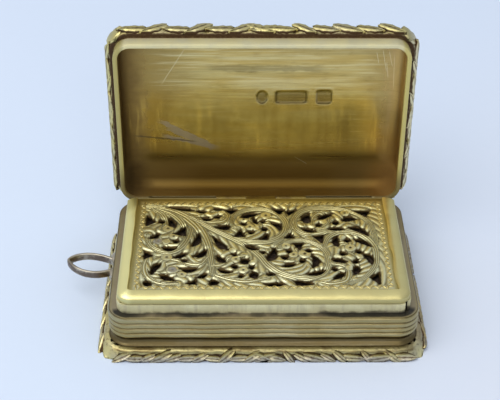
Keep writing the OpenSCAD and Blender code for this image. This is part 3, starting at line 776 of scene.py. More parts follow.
def channel_cut(mesh, name):
    """The mesh with the room for the hinge's knuckles taken out, as in the solids."""
    low, high = span(solid_points("base_knuckles", "lid_knuckles"))
    radius = solid_points("base_knuckles")[:, 2].max() - HINGE[2] + KNUCKLE_ROOM
    steps = 32
    turns = np.arange(steps) * (2 * math.pi / steps)
    points = np.array([(x, HINGE[1] + radius * math.cos(t), HINGE[2] + radius * math.sin(t))
                       for x in (low[0] - KNUCKLE_ROOM, high[0] + KNUCKLE_ROOM) for t in turns])
    faces = outward(points, ring_faces(2, steps))
    cutter = add_object(name + "_cutter", mesh_of(name + "_cutter", points, faces, mesh.materials[0]))
    cut = add_object(name + "_uncut", mesh)
    modifier = cut.modifiers.new("channel", "BOOLEAN")
    modifier.operation = "DIFFERENCE"
    modifier.solver = "EXACT"
    modifier.object = cutter
    made = baked(cut)
    bpy.data.objects.remove(cutter)
    return made


def moved_mesh(mesh, move):
    """The mesh with its vertices, in millimetres, put through a function."""
    mesh.vertices.foreach_set("co", (move(mesh_points(mesh)) * MM).ravel())
    mesh.update()
    return mesh


def border_edges(polygons):
    """The edges, with their direction, that only one of the polygons has."""
    edges = set()
    for polygon in polygons:
        for a, b in zip(polygon, polygon[1:] + polygon[:1]):
            if (b, a) in edges:
                edges.remove((b, a))
            else:
                edges.add((a, b))
    return edges


def outlines(points, triangles):
    """Closed outlines round a flat patch of triangles, as arrays of x, y."""
    keys = {}
    index = [keys.setdefault(tuple(np.round(p[:2], 4)), len(keys)) for p in points]
    places = np.array(list(keys))
    follow = dict(border_edges([index[v] for v in triangle] for triangle in triangles))
    loops = []
    while follow:
        first, here = next(iter(follow.items()))
        del follow[first]
        loop = [first]
        while here != first:
            loop.append(here)
            here = follow.pop(here)
        loops.append(places[loop])
    return loops


def solid_outlines(node, points=None):
    """Outlines of the highest flat face of a solid; points are its vertices, if they were turned."""
    points = solid_points(node) if points is None else points
    low = points[:, 2].max() - 1e-3
    flat = [p.vertices for p in NODES[node].data.polygons if all(points[v, 2] > low for v in p.vertices)]
    return outlines(points, flat)


def edge_field(points, loops):
    """Distance to the nearest outline, positive inside the material, and the nearest place on it."""
    start = np.concatenate(loops)
    end = np.concatenate([np.roll(loop, -1, 0) for loop in loops])
    run = end - start
    size = np.maximum((run ** 2).sum(1), 1e-12)
    distance = np.zeros(len(points))
    nearest = np.zeros((len(points), 2))
    for i in range(0, len(points), BATCH):
        p = points[i:i + BATCH, None, :]
        share = np.clip(((p - start) * run).sum(2) / size, 0, 1)
        foot = start + run * share[..., None]
        gap = ((p - foot) ** 2).sum(2)
        pick = gap.argmin(1)
        rows = np.arange(len(pick))
        distance[i:i + BATCH] = np.sqrt(gap[rows, pick])
        nearest[i:i + BATCH] = foot[rows, pick]
        crosses = (start[:, 1] > p[..., 1]) != (end[:, 1] > p[..., 1])
        with np.errstate(divide="ignore", invalid="ignore"):
            at = start[:, 0] + (p[..., 1] - start[:, 1]) * run[:, 0] / run[:, 1]
        inside = (crosses & (p[..., 0] < at)).sum(1) % 2 == 1
        distance[i:i + BATCH][~inside] *= -1
    return distance, nearest


def relief_slab(loops, cell, surfaces):
    """A slab inside outlines, with a fine grid on both faces; surfaces gives top, bottom and vertex values.

    Grid points close to an outline move onto it, so that piercings have clean edges.
    """
    low, high = span(np.concatenate(loops))
    counts = np.ceil((high - low) / cell).astype(int) + 1
    grid = np.meshgrid(*(np.linspace(low[k], high[k], counts[k]) for k in (0, 1)), indexing="ij")
    flat = np.stack([axis.ravel() for axis in grid], 1)
    edge, nearest = edge_field(flat, loops)
    close = np.abs(edge) < 0.6 * cell
    flat[close] = nearest[close]
    edge[close] = 0.0
    order = np.arange(len(flat)).reshape(grid[0].shape)
    quads = np.stack([order[:-1, :-1], order[1:, :-1], order[1:, 1:], order[:-1, 1:]], -1).reshape(-1, 4)
    corners = edge[quads]
    quads = quads[(corners >= 0).all(1) & (corners.sum(1) > 0)]
    used = np.unique(quads)
    renumber = np.full(len(flat), -1)
    renumber[used] = np.arange(len(used))
    quads = renumber[quads].tolist()
    flat, edge = flat[used], edge[used]
    top, bottom, values = surfaces(flat, edge)
    count = len(flat)
    points = np.concatenate([np.column_stack([flat, top]), np.column_stack([flat, bottom])])
    faces = [tuple(q) for q in quads]
    faces += [tuple(v + count for v in reversed(q)) for q in quads]
    faces += [(b, a, a + count, b + count) for a, b in sorted(border_edges(quads))]
    values = {key: np.concatenate([value, value]) for key, value in values.items()}
    return points, faces, values


def smooth_line(points, per_span=24):
    """A smooth curve through points."""
    p = np.asarray(points, float)
    p = np.vstack([2 * p[0] - p[1], p, 2 * p[-1] - p[-2]])
    line = []
    for i in range(1, len(p) - 2):
        for t in np.arange(per_span) / per_span:
            line.append(0.5 * (2 * p[i] + (p[i + 1] - p[i - 1]) * t
                               + (2 * p[i - 1] - 5 * p[i] + 4 * p[i + 1] - p[i + 2]) * t ** 2
                               + (3 * p[i] - p[i - 1] - 3 * p[i + 1] + p[i + 2]) * t ** 3))
    line.append(p[-2])
    return np.array(line)


# Rows of like pieces along a path

ROW_INPUTS = {
    "Piece": "NodeSocketObject",
    "Pitch": "NodeSocketFloat",
    "Tilt": "NodeSocketFloat",
    "Lean": "NodeSocketFloat",
    "Zigzag": "NodeSocketFloat",
    "Jitter": "NodeSocketFloat",
    "Seed": "NodeSocketInt",
    "Material": "NodeSocketMaterial",
}
ROW_DEFAULTS = {"Tilt": 0.0, "Lean": 0.0, "Zigzag": 0.0, "Jitter": 0.0, "Seed": 0}


def row_tree():
    """Geometry Nodes that set copies of a piece along the edges of a path."""
    name = "row_along_path"
    if name in bpy.data.node_groups:
        return bpy.data.node_groups[name]
    tree = bpy.data.node_groups.new(name, "GeometryNodeTree")
    tree.interface.new_socket("Geometry", in_out="INPUT", socket_type="NodeSocketGeometry")
    for label, kind in ROW_INPUTS.items():
        tree.interface.new_socket(label, in_out="INPUT", socket_type=kind)
    tree.interface.new_socket("Geometry", in_out="OUTPUT", socket_type="NodeSocketGeometry")
    into = Wire(tree)
    group = tree.nodes.new("NodeGroupInput")
    given = {socket.name: Wire(tree, socket) for socket in group.outputs if socket.name}

    curve = into.node("GeometryNodeMeshToCurve", None, {"Mesh": given["Geometry"]})
    spaced = into.node("GeometryNodeResampleCurve", {"mode": "LENGTH"},
                       {"Curve": curve, "Length": given["Pitch"]})
    turn = into.node("FunctionNodeAlignRotationToVector", {"axis": "X", "pivot_axis": "Z"},
                     {"Vector": into.node("GeometryNodeInputTangent")})
    side = into.node("GeometryNodeInputIndex").math("MODULO", 2.0) * 2.0 - 1.0
    shake = into.node("FunctionNodeRandomValue", {"data_type": "FLOAT"},
                      {2: -1.0, 3: 1.0, "Seed": given["Seed"]}, 1) * given["Jitter"]
    lean = side * given["Zigzag"] + given["Lean"] + shake
    for axis, angle in (("X", given["Tilt"]), ("Z", lean)):
        euler = into.node("ShaderNodeCombineXYZ", None, {axis: angle})
        turn = into.node("FunctionNodeRotateRotation", {"rotation_space": "LOCAL"},
                         {0: turn, 1: into.node("FunctionNodeEulerToRotation", None, {0: euler})})
    piece = into.node("GeometryNodeObjectInfo", None, {"Object": given["Piece"]}, "Geometry")
    copies = into.node("GeometryNodeInstanceOnPoints", None,
                       {"Points": spaced, "Instance": piece, "Rotation": turn, "Scale": shake * 0.6 + 1.0})
    real = into.node("GeometryNodeRealizeInstances", None, {"Geometry": copies})
    painted = into.node("GeometryNodeSetMaterial", None, {"Geometry": real, "Material": given["Material"]})
    end = tree.nodes.new("NodeGroupOutput")
    tree.links.new(painted.socket, end.inputs[0])
    return tree


def row_of(name, path, piece, material, closed=False, **values):
    """The mesh of a row of copies of a piece along a path in millimetres."""
    count = len(path)
    edges = [(i, (i + 1) % count) for i in range(count if closed else count - 1)]
    mesh = bpy.data.meshes.new(name)
    mesh.from_pydata((np.asarray(path) * MM).tolist(), edges, [])
    maker = add_object(name + "_path", mesh)
    modifier = maker.modifiers.new("row", "NODES")
    modifier.node_group = row_tree()
    given = {**ROW_DEFAULTS, "Piece": piece, "Material": material, **values}
    given["Pitch"] *= MM
    for item in modifier.node_group.interface.items_tree:
        if item.in_out == "INPUT" and item.name in given:
            modifier[item.identifier] = given[item.name]
    return baked(maker)


def joined(name, meshes):
    """Several meshes as one, with their hollow values."""
    points, faces, hollow = [], [], []
    start = 0
    for mesh in meshes:
        points.append(mesh_points(mesh))
        faces += [tuple(v + start for v in p.vertices) for p in mesh.polygons]
        value = np.zeros(len(mesh.vertices), np.float32)
        mesh.attributes["hollow"].data.foreach_get("value", value)
        hollow.append(value)
        start += len(mesh.vertices)
    shade = {"hollow": np.concatenate(hollow)}
    return mesh_of(name, np.concatenate(points), faces, meshes[0].materials[0], shade, 55)


# Half width, height and shade along a leaf, from its stalk to its tip; the notches are where the width drops
LEAF_ROWS = {
    "lid": ((0.40, 0.60, 0.5), (0.90, 0.88, 0.1), (0.78, 0.92, 0.4), (1.00, 1.00, 0.0),
            (0.82, 0.98, 0.35), (0.82, 0.95, 0.0), (0.52, 0.85, 0.0), (0.10, 0.60, 0.0)),
    "foot": ((0.60, 0.60, 0.4), (0.90, 0.85, 0.1), (1.00, 1.00, 0.0), (1.00, 1.00, 0.0),
             (0.92, 0.92, 0.0), (0.72, 0.80, 0.0), (0.35, 0.50, 0.0)),
    "corner": ((0.50, 0.50, 0.2), (0.85, 0.80, 0.0), (1.00, 1.00, 0.0), (1.00, 1.00, 0.0),
               (0.90, 0.95, 0.0), (0.66, 0.80, 0.0), (0.25, 0.50, 0.0)),
}
# Place, height and shade across a leaf with a sunk vein, and across the smooth leaf of a corner
LEAF_ACROSS = ((-1.0, 0.20, 1.0), (-0.58, 1.0, 0.0), (0.0, 0.72, 0.8), (0.58, 1.0, 0.0), (1.0, 0.20, 1.0))
CORNER_ACROSS = ((-1.0, 0.10, 0.5), (-0.55, 0.90, 0.0), (0.0, 0.80, 0.3), (0.55, 0.90, 0.0), (1.0, 0.10, 0.5))
LEAF_HEIGHT = 0.3
# Shares of a leaf: how far its edges lie back, how far its tip is raised and how far its sides go down
LEAF_BACK, LEAF_TIP, LEAF_DEPTH = 0.10, 0.25, 0.7


def leaf_shape(outline, across, length_mm, width_mm, material):
    """One leaf lying along +X, with a raised tip."""
    rows, columns = len(outline), len(across)
    points, hollow = [], []
    for i, (wide, high, dark) in enumerate(outline):
        t = i / (rows - 1)
        for v, rise, cut in across:
            points.append((length_mm * (t - 0.5 - abs(v) * LEAF_BACK), width_mm / 2 * wide * v,
                           LEAF_HEIGHT * (high * rise + LEAF_TIP * t * t)))
            hollow.append(min(1.0, cut + dark * (0.6 if abs(v) > 0.5 else 0.15)))
    order = np.arange(rows * columns).reshape(rows, columns)
    rim = [*order[0], *order[1:, -1], *order[-1, -2::-1], *order[-2:0:-1, 0]]
    foot = len(points)
    points += [(points[v][0], points[v][1], -LEAF_DEPTH * LEAF_HEIGHT) for v in rim]
    hollow += [1.0] * len(rim)
    quads = np.stack([order[:-1, :-1], order[1:, :-1], order[1:, 1:], order[:-1, 1:]], -1)
    faces = [tuple(quad) for quad in quads.reshape(-1, 4)]
    for k, a in enumerate(rim):
        n = (k + 1) % len(rim)
        faces.append((a, rim[n], foot + n, foot + k))
    faces.append(tuple(foot + k for k in range(len(rim))))
    points = np.array(points)
    return mesh_of("leaf", points, outward(points, faces), material, {"hollow": hollow}, 60)


def bead_shape(length_mm, width_mm, height_mm, material):
    """One short chased cut lying along +X, half sunk."""
    along, around = 6, 6
    points, hollow = [], []
    for t in math.pi * np.linspace(0.06, 0.94, along):
        for a in np.arange(around) * (2 * math.pi / around):
            points.append((-length_mm / 2 * math.cos(t), width_mm / 2 * math.sin(t) * math.cos(a),
                           height_mm * math.sin(t) * math.sin(a)))
            # The lower side of each cut takes painted shade
            hollow.append(0.0 if math.sin(a) > 0.3 else 0.8)
    points = np.array(points)
    faces = outward(points, ring_faces(along, around))
    return mesh_of("bead", points, faces, material, {"hollow": hollow}, 180)


# Leaf borders

# How the leaves of a border sit: whose sizes and outline they have, their place on the strip (outwards, up),
# their turns in radians, how unlike they are, and how wide the smooth corner leaves are and how far sunk
LeafStyle = namedtuple("LeafStyle", "kind place tilt lean shake corner_width corner_sunk")
# Distance between the points of a border's path
PATH_STEP = 0.25
CORNER_LEAF_LENGTH = 2.5


def side_path(side, low, high, radius):
    """The part of a rounded rectangle between two mitres."""
    places, normals = round_path(low, high, radius, 16, PATH_STEP)
    angle = np.degrees(np.arctan2(normals[:, 1], normals[:, 0]))
    keep = np.abs((angle - 90 * side + 180) % 360 - 180) <= 45.01
    return part_of_path(places, normals, keep)


def lobed_strip(side, path, section, lobe_length):
    """The backing strip of a border, with a lobed outer edge."""
    reach = max(p[0] for p in section)

    def lobes(run, out, up):
        share = np.clip((out - 0.5 * reach) / (0.5 * reach), 0, 1)
        wave = 1 - np.abs(np.sin(math.pi * run / lobe_length + side))
        return out - share * (0.30 * wave + 0.05 * np.sin(5.1 * run)), up

    return swept("strip", path, section, finish(leaf_gilt), 40, closed=False, wobble=lobes)


def leaf_rows(side, path, style):
    """Two rows of leaves, from the middle of a side towards its corners."""
    s = sizes()
    long, wide, pitch = (s[style.kind + "_leaf_" + key] for key in ("length", "width", "pitch"))
    material = finish(leaf_gilt)
    places, normals = path
    line = np.column_stack([places + normals * style.place[0], np.full(len(places), style.place[1])])
    middle = len(line) // 2
    # The rows stop where the tip of the last leaf is at the corner
    spare = int(0.6 * long / PATH_STEP)
    leaf = add_object("leaf_pattern", leaf_shape(LEAF_ROWS[style.kind], LEAF_ACROSS, long, wide, material))
    rows = []
    for half, hand in ((line[middle:-spare], 1.0), (line[spare:middle + 1][::-1], -1.0)):
        turns = {"Tilt": hand * style.tilt, "Lean": -hand * style.lean, "Zigzag": 0.2, "Jitter": style.shake}
        rows.append(row_of("leaves", half, leaf, material, Pitch=pitch, Seed=2 * side + (hand > 0), **turns))
    bpy.data.objects.remove(leaf)
    return rows


def corner_leaves(path, style):
    """The large smooth leaves on the two corners of a side."""
    material = finish(leaf_gilt)
    shape = leaf_shape(LEAF_ROWS["corner"], CORNER_ACROSS, CORNER_LEAF_LENGTH, style.corner_width, material)
    leaf = add_object("corner_pattern", shape)
    leaves = []
    for end in (0, -1):
        place, out = path[0][end], path[1][end]
        here = np.array([*(place + out * (style.place[0] - style.corner_sunk)), style.place[1] + 0.05])
        across = np.array([-out[1], out[0], 0.0])
        # A short path across the corner
        short = np.array([here - 0.05 * across, here + 0.05 * across])
        leaves.append(row_of("corner_leaf", short, leaf, material, Pitch=1.0,
                             Tilt=style.tilt, Lean=-math.pi / 2))
    bpy.data.objects.remove(leaf)
    return leaves


def leaf_border(name, side, outline, section, style, box):
    """One mitred border side on the shut box: a backing strip and its leaves.

    outline is the rounded rectangle that the strip lies on: low, high, radius. section is the strip's
    profile with how much painted shade each point takes, and box is the room that the border has.
    """
    path = side_path(side, *outline)
    parts = [lobed_strip(side, path, section, sizes()[style.kind + "_leaf_length"])]
    parts += leaf_rows(side, path, style)
    if SIDES[side] in ("front", "back"):
        parts += corner_leaves(path, style)
    mesh = joined(name, parts)
    if style.kind == "lid":
        # The painted shade thins out towards the top of the lid's leaves, so their upper edges come out
        # bright
        shade = mesh.attributes["hollow"].data
        for vertex in mesh.vertices:
            shade[vertex.index].value *= min(1.0, max(0.3, (box[1][2] - vertex.co.z / MM) / 0.4))
    return moved_mesh(mesh, lambda p: np.clip(p, *box))


class VINAIGRETTE_OT_foot_borders(bpy.types.Operator):
    """Leaf borders round the foot, one strip on each side"""
    bl_idname = "vinaigrette.foot_borders"
    bl_label = "Foot borders"

    def execute(self, context):
        reach = FOOT_HIGH[0] - WALL_HIGH[0]
        top = FOOT_HIGH[2]
        section = [
            (0.0, 0.0, 1.0), (reach - 0.3, 0.0, 1.0), (reach - 0.12, 0.15, 0.9), (reach - 0.16, 0.32, 0.8),
            (0.98, top - 0.78, 0.8), (0.88, top - 0.64, 1.0), (0.85, top - 0.46, 0.2),
            (0.77, top - 0.22, 0.0), (0.6, top - 0.06, 0.1), (0.44, top - 0.06, 0.55),
            (0.32, top, 0.0), (0.1, top, 0.4), (0.0, top, 0.9),
        ]
        outline = (WALL_LOW[:2], WALL_HIGH[:2], sizes()["wall_corner"])
        style = LeafStyle("foot", (0.80 * reach, 0.43), 1.0, 0.38, 0.36, 2.7, 0.2)
        for side, name in enumerate(SIDES):
            mesh = leaf_border("foot_border_" + name, side, outline, section, style, (FOOT_LOW, FOOT_HIGH))
            add_piece("foot_border_" + name, mesh, "base", "border_gilt", "base_border_" + name)
        return {"FINISHED"}


class VINAIGRETTE_OT_lid_borders(bpy.types.Operator):
    """Leaf borders round the lid, one strip on each side"""
    bl_idname = "vinaigrette.lid_borders"
    bl_label = "Lid borders"

    def execute(self, context):
        reach = LEAF_HIGH[0] - LID_HIGH[0]
        low, high = LEAF_LOW[2], LEAF_HIGH[2]
        section = [
            (0.0, low, 0.8), (0.3, low, 1.0), (0.5, low, 0.9), (reach - 0.5, low + 0.12, 0.6),
            (reach - 0.38, low + 0.4, 0.6), (reach - 0.27, high - 0.75, 0.6),
            (reach - 0.45, high - 0.45, 0.7), (0.52, high - 0.3, 0.5), (0.46, high - 0.15, 0.1),
            (0.36, high - 0.03, 0.0), (0.0, high - 0.01, 0.3),
        ]
        outline = (LID_LOW[:2], LID_HIGH[:2], sizes()["lid_corner"])
        tilts = {"right": 2.15, "back": 1.8, "left": 2.15, "front": 1.8}
        for side, name in enumerate(SIDES):
            style = LeafStyle("lid", (reach - 0.36, low + 0.62), tilts[name], 0.3, 0.15, 2.7, 0.2)
            mesh = leaf_border("lid_leaves_" + name, side, outline, section, style, (LEAF_LOW, LEAF_HIGH))
            mesh = moved_mesh(mesh, opened)
            add_piece("lid_leaves_" + name, mesh, "lid", "border_gilt", "lid_border_" + name)
        return {"FINISHED"}


# Wall

# Heights of the reeds from below, compared with each other
REED_HEIGHTS = (0.95, 1.0, 1.05, 1.2)


def wall_profile(s):
    """Profile of the wall with its cove and reeds: outwards, up, how dark with tarnish and painted shade, and
    how much of it is ledge.
    """
    groove, thick, cove = s["reed_groove"], s["wall_thickness"], s["cove_height"]
    bottom, foot, top = WALL_LOW[2], FOOT_HIGH[2], WALL_HIGH[2]
    profile = [(-thick, bottom, 1.0, 0.0), (0.0, bottom, 1.0, 0.0)]
    # The cove takes painted shade, deepest across its middle
    for t in np.linspace(0, 1, 15):
        bow = math.sin(math.pi * t)
        profile.append((-s["cove_depth"] * bow - groove * t, foot + cove * t, 0.85 + 0.15 * bow, 0.0))
    heights = np.cumsum([0, *REED_HEIGHTS])
    heights = foot + cove + heights / heights[-1] * (top - foot - cove)
    for low, high in zip(heights, heights[1:]):
        for t in np.linspace(0, 1, 11)[1:]:
            swell = math.sin(math.pi * t) ** 0.7
            # A thin painted line of shade across each reed, where a fine groove would be
            fine_line = 0.45 * (abs(t - 0.6) < 0.05)
            profile.append((-groove * (1 - swell), low + (high - low) * t, 1 - swell + fine_line, 0.0))
    return profile + [(-0.3, top, 0.1, 0.55), (-0.55, top, 0.2, 0.9), (-thick, top, 0.4, 1.0)]


def uneven_reeds(run, out, up):
    """Lets the reeds rise and fall a little along the wall, but not at its foot or its top."""
    free = np.clip(up - FOOT_HIGH[2], 0, 1) * np.clip((WALL_HIGH[2] - up) / 0.6, 0, 1)
    turn = math.pi / (WALL_HIGH - WALL_LOW)[:2].sum()
    return out, up + free * (0.03 * np.sin(9 * turn * run) + 0.025 * np.sin(23 * turn * run + up))


class VINAIGRETTE_OT_wall(bpy.types.Operator):
    """Reeded wall with the cove under its reeds"""
    bl_idname = "vinaigrette.wall"
    bl_label = "Reeded wall"

    def execute(self, context):
        s = sizes()
        path = round_path(WALL_LOW[:2], WALL_HIGH[:2], s["wall_corner"], 14, 0.7)
        mesh = swept("reeded_wall", path, wall_profile(s), finish(wall_gilt), 50, wobble=uneven_reeds,
                     shades=("hollow", "ledge"))
        add_piece("reeded_wall", channel_cut(mesh, "reeded_wall"), "base", "reeded_gilt", "base_wall")
        return {"FINISHED"}


# Lid

# Blank punches inside the lid: x, half width, half height, squareness; and their distance from the hinge
PUNCHES = ((0.1, 0.75, 1.0, 2.0), (3.9, 2.1, 0.95, 8.0), (8.2, 1.05, 1.05, 5.0))
PUNCH_REACH = 14.3
SHEET_CELL = 0.16
# Rounding of the rim's edges
RIM_SOFT = 0.1


def lid_wall_profile(s):
    """Profile of the shut lid's wall: up its outside, and back down its inside over the cove."""
    thick, cove = s["lid_thickness"], s["lid_cove"]
    ceiling, rim, border = LID_LOW[2], RIM_HIGH[2], LEAF_LOW[2]
    # The third value is painted shadow: full under the leaf border, none elsewhere
    profile = [(0.0, rim, 0.0), (0.0, border - 0.3, 0.0), (0.0, border - 0.05, 1.0), (0.0, ceiling, 1.0),
               (-thick - cove, ceiling, 0.0)]
    for t in np.linspace(0, math.pi / 2, 15)[1:]:
        profile.append((-thick - cove * (1 - math.sin(t)), ceiling - cove * (1 - math.cos(t)), 0.0))
    return profile + [(-thick, rim, 0.0)]


def lid_rim_profile(thick):
    """Profile of the rim, with a dark line of painted shade inside its mouth."""
    mouth, top = RIM_LOW[2], RIM_HIGH[2]
    return [
        (0.0, top, 0.0), (-thick, top, 0.8), (-thick, mouth + RIM_SOFT, 0.7),
        (-thick + 0.03, mouth + 0.03, 0.6), (-thick + RIM_SOFT, mouth, 0.45),
        (-thick + 2 * RIM_SOFT, mouth, 0.0), (-RIM_SOFT, mouth, 0.0), (-0.03, mouth + 0.03, 0.2),
        (0.0, mouth + RIM_SOFT, 0.5),
    ]


def punched_sheet(flat, edge):
    """Outer face, inner face and shade of the lid's sheet, with blank punches and slight waves."""
    x, y = flat[:, 0], flat[:, 1]
    inner = np.full(len(flat), LID_LOW[2])
    dark = np.zeros(len(flat))
    for middle, half_wide, half_high, power in PUNCHES:
        aside = np.abs((x - middle) / half_wide)
        ahead = np.abs((HINGE[1] - y - PUNCH_REACH) / half_high)
        shape = (aside ** power + ahead ** power) ** (1 / power)
        sunk = np.clip((1.0 - shape) / 0.16, 0, 1)
        inner += sizes()["punch_depth"] * sunk * sunk * (3 - 2 * sunk) - 0.02 * bell(shape, 1.14, 0.12)
        # Painted shade round the edges of each punch and inside it
        dark = np.maximum(dark, np.maximum(0.95 * bell(shape, 0.93, 0.10), 0.55 * sunk))
    inner += 0.018 * np.sin(0.5 * x + 1) * np.sin(0.7 * y) * np.clip((edge - 2.2) / 2, 0, 1)
    return np.full(len(flat), LID_HIGH[2]), inner, {"hollow": dark}


class VINAIGRETTE_OT_lid(bpy.types.Operator):
    """Lid wall with its cove, the rim of its mouth and the sheet with its blank punch marks"""
    bl_idname = "vinaigrette.lid"
    bl_label = "Lid"

    def execute(self, context):
        s = sizes()
        path = round_path(LID_LOW[:2], LID_HIGH[:2], s["lid_corner"], 14, 1.0)
        inside, rim, outside = finish(lid_gilt), finish(rim_gilt), finish(outer_gilt)

        mesh = swept("lid_wall_shell", path, lid_wall_profile(s), (inside, rim), outer=3)
        mesh = moved_mesh(channel_cut(mesh, "lid_wall_shell"), opened)
        add_piece("lid_wall_shell", mesh, "lid", "gilt", "lid_wall")

        mesh = swept("lid_mouth_rim", path, lid_rim_profile(s["lid_thickness"]), rim)
        mesh = moved_mesh(channel_cut(mesh, "lid_mouth_rim"), opened)
        add_piece("lid_mouth_rim", mesh, "lid", "gilt", "lid_rim")

        outline = solid_outlines("lid_plate", LID_POINTS)
        points, faces, values = relief_slab(outline, SHEET_CELL, punched_sheet)
        middle = 0.5 * (LID_LOW[2] + LID_HIGH[2])
        index = [int(all(points[v, 2] > middle for v in face)) for face in faces]
        mesh = mesh_of("lid_sheet", opened(points), faces, (inside, outside), values, 35, index)
        add_piece("lid_sheet", mesh, "lid", "gilt", "lid_plate")
        return {"FINISHED"}


# Grille

# Stems of the scrollwork: points along the stem, its half width at start, middle and end, and how many flutes
STEMS = (
    ([(-15.0, 7.5), (-12.6, 6.95), (-10.6, 5.75), (-8.95, 3.9), (-7.8, 1.6), (-7.1, -0.8), (-6.7, -3.4),
      (-6.4, -6.2)], 0.45, 0.85, 0.35, 4),
    ([(-11.2, 6.2), (-8.6, 4.45), (-6.3, 2.5), (-4.0, 0.75), (-2.0, -0.9), (-0.6, -2.7), (0.5, -4.7),
      (2.3, -6.3), (4.8, -7.0), (7.0, -6.2), (7.9, -4.0), (7.6, -1.7), (6.2, -0.2), (4.6, 0.4), (3.0, 0.1),
      (1.9, -1.0)], 0.4, 0.62, 0.3, 4),
    ([(-9.6, 5.2), (-6.9, 3.0), (-4.4, 1.1), (-2.0, 0.15), (0.6, 0.25), (2.4, 1.6), (2.85, 4.0), (1.7, 6.1),
      (-0.4, 6.95), (-2.6, 6.6), (-3.9, 5.2), (-4.1, 3.4), (-3.2, 2.9)], 0.4, 0.6, 0.25, 4),
    ([(1.3, -0.3), (2.7, 1.3), (3.5, 3.3), (4.1, 5.3), (5.3, 6.7), (7.4, 7.2), (9.8, 7.0), (12.0, 6.0),
      (13.5, 4.3), (14.0, 2.2), (14.2, 0.0)], 0.3, 0.55, 0.3, 4),
    ([(3.9, 4.2), (4.1, 2.8), (5.2, 1.8), (6.8, 1.9), (8.2, 2.3), (9.6, 2.3), (10.9, 2.6)],
     0.3, 0.5, 0.25, 3),
    ([(7.5, -0.8), (8.1, 0.9), (9.4, 2.0), (11.2, 2.05), (12.8, 1.1), (13.8, -0.8), (13.9, -2.8),
      (13.5, -4.9), (12.1, -6.9), (10.4, -7.9)], 0.3, 0.5, 0.25, 3),
    ([(7.0, -7.8), (8.0, -8.0), (9.8, -7.4), (10.2, -5.6), (9.6, -4.6), (8.0, -4.2)], 0.3, 0.4, 0.2, 2),
    ([(-9.4, 2.6), (-9.8, 0.6), (-10.6, -1.0), (-12.0, -1.9), (-13.6, -1.4), (-14.6, -0.2), (-14.8, 1.6)],
     0.4, 0.5, 0.25, 3),
    ([(-14.4, 7.0), (-13.2, 5.8), (-12.6, 4.0), (-12.9, 2.7)], 0.3, 0.45, 0.3, 3),
    ([(-13.7, 7.0), (-11.9, 5.9), (-10.7, 4.4), (-10.0, 2.4), (-10.2, 0.9)], 0.3, 0.5, 0.3, 3),
    ([(-14.7, -3.2), (-14.9, -5.0), (-14.4, -6.7), (-12.9, -7.9), (-10.8, -8.0)], 0.3, 0.4, 0.25, 2),
    ([(-7.3, -3.2), (-8.0, -4.2), (-9.4, -4.2), (-11.0, -3.5), (-12.6, -3.4), (-13.4, -4.4)],
     0.3, 0.4, 0.2, 2),
    ([(-8.3, 4.6), (-6.8, 4.2), (-5.2, 4.5), (-4.7, 5.6), (-5.4, 6.6), (-6.7, 6.5)], 0.25, 0.4, 0.2, 2),
    ([(-6.5, -4.6), (-5.2, -4.3), (-4.6, -3.2), (-3.6, -2.9), (-2.6, -2.6)], 0.25, 0.35, 0.2, 2),
    ([(-6.2, -6.4), (-4.4, -7.2), (-2.4, -7.6), (-0.6, -7.2), (0.4, -6.9)], 0.25, 0.4, 0.2, 2),
    ([(6.2, 3.6), (6.3, 5.0), (7.3, 6.1), (8.4, 5.2), (8.2, 4.0), (7.5, 3.2)], 0.2, 0.35, 0.2, 2),
)

# Round bosses of the scrolls: x, y, radius; the larger ones have a dark middle of painted shade, and all have
# a ring of it round them
BOSSES = (
    (-12.3, 2.9, 0.7), (-13.4, 0.3, 0.6), (-11.5, 1.3, 0.6), (-12.2, -2.9, 0.7), (-11.4, -5.3, 0.75),
    (-12.4, 0.2, 0.5), (-5.5, 6.2, 0.4), (-2.6, 4.8, 0.6), (-1.8, 3.2, 0.6), (-1.0, 2.9, 0.4),
    (-3.6, -3.3, 0.6), (-4.0, -1.5, 0.5), (-2.7, -5.4, 0.6), (-1.6, -3.9, 0.5), (2.7, -0.7, 0.55),
    (3.6, -2.4, 0.6),
    (5.0, -2.3, 0.8), (1.9, -3.3, 0.5), (7.7, 4.3, 0.5), (9.9, 1.1, 0.5), (10.8, -1.1, 0.7), (9.1, -2.8, 0.5),
    (11.9, -2.8, 0.45), (10.4, -5.0, 0.5), (-10.2, -6.2, 0.6), (0.3, 5.6, 0.7), (10.6, 6.1, 0.6),
)
LARGE_BOSS = 0.52
# The pattern's shift to the right, and the corners of the chased field
PATTERN_X = 0.25
FIELD = np.array([(-15.0, -8.35), (15.0, 7.75)])
# Length of a leaf's lobe along its stem, how far it leans forward, and how far from a stem its leaves reach
LOBE_PITCH, LOBE_LEAN, LOBE_REACH = 1.55, 1.7, 2.5
PANEL_CELL = 0.125
# Length, width and height of one cut of the zigzag, how far it is sunk, and its distance from the field
BEAD_SIZE = (0.82, 0.24, 0.13)
BEAD_SUNK = 0.05
BEAD_MARGIN = (0.42, 0.38)


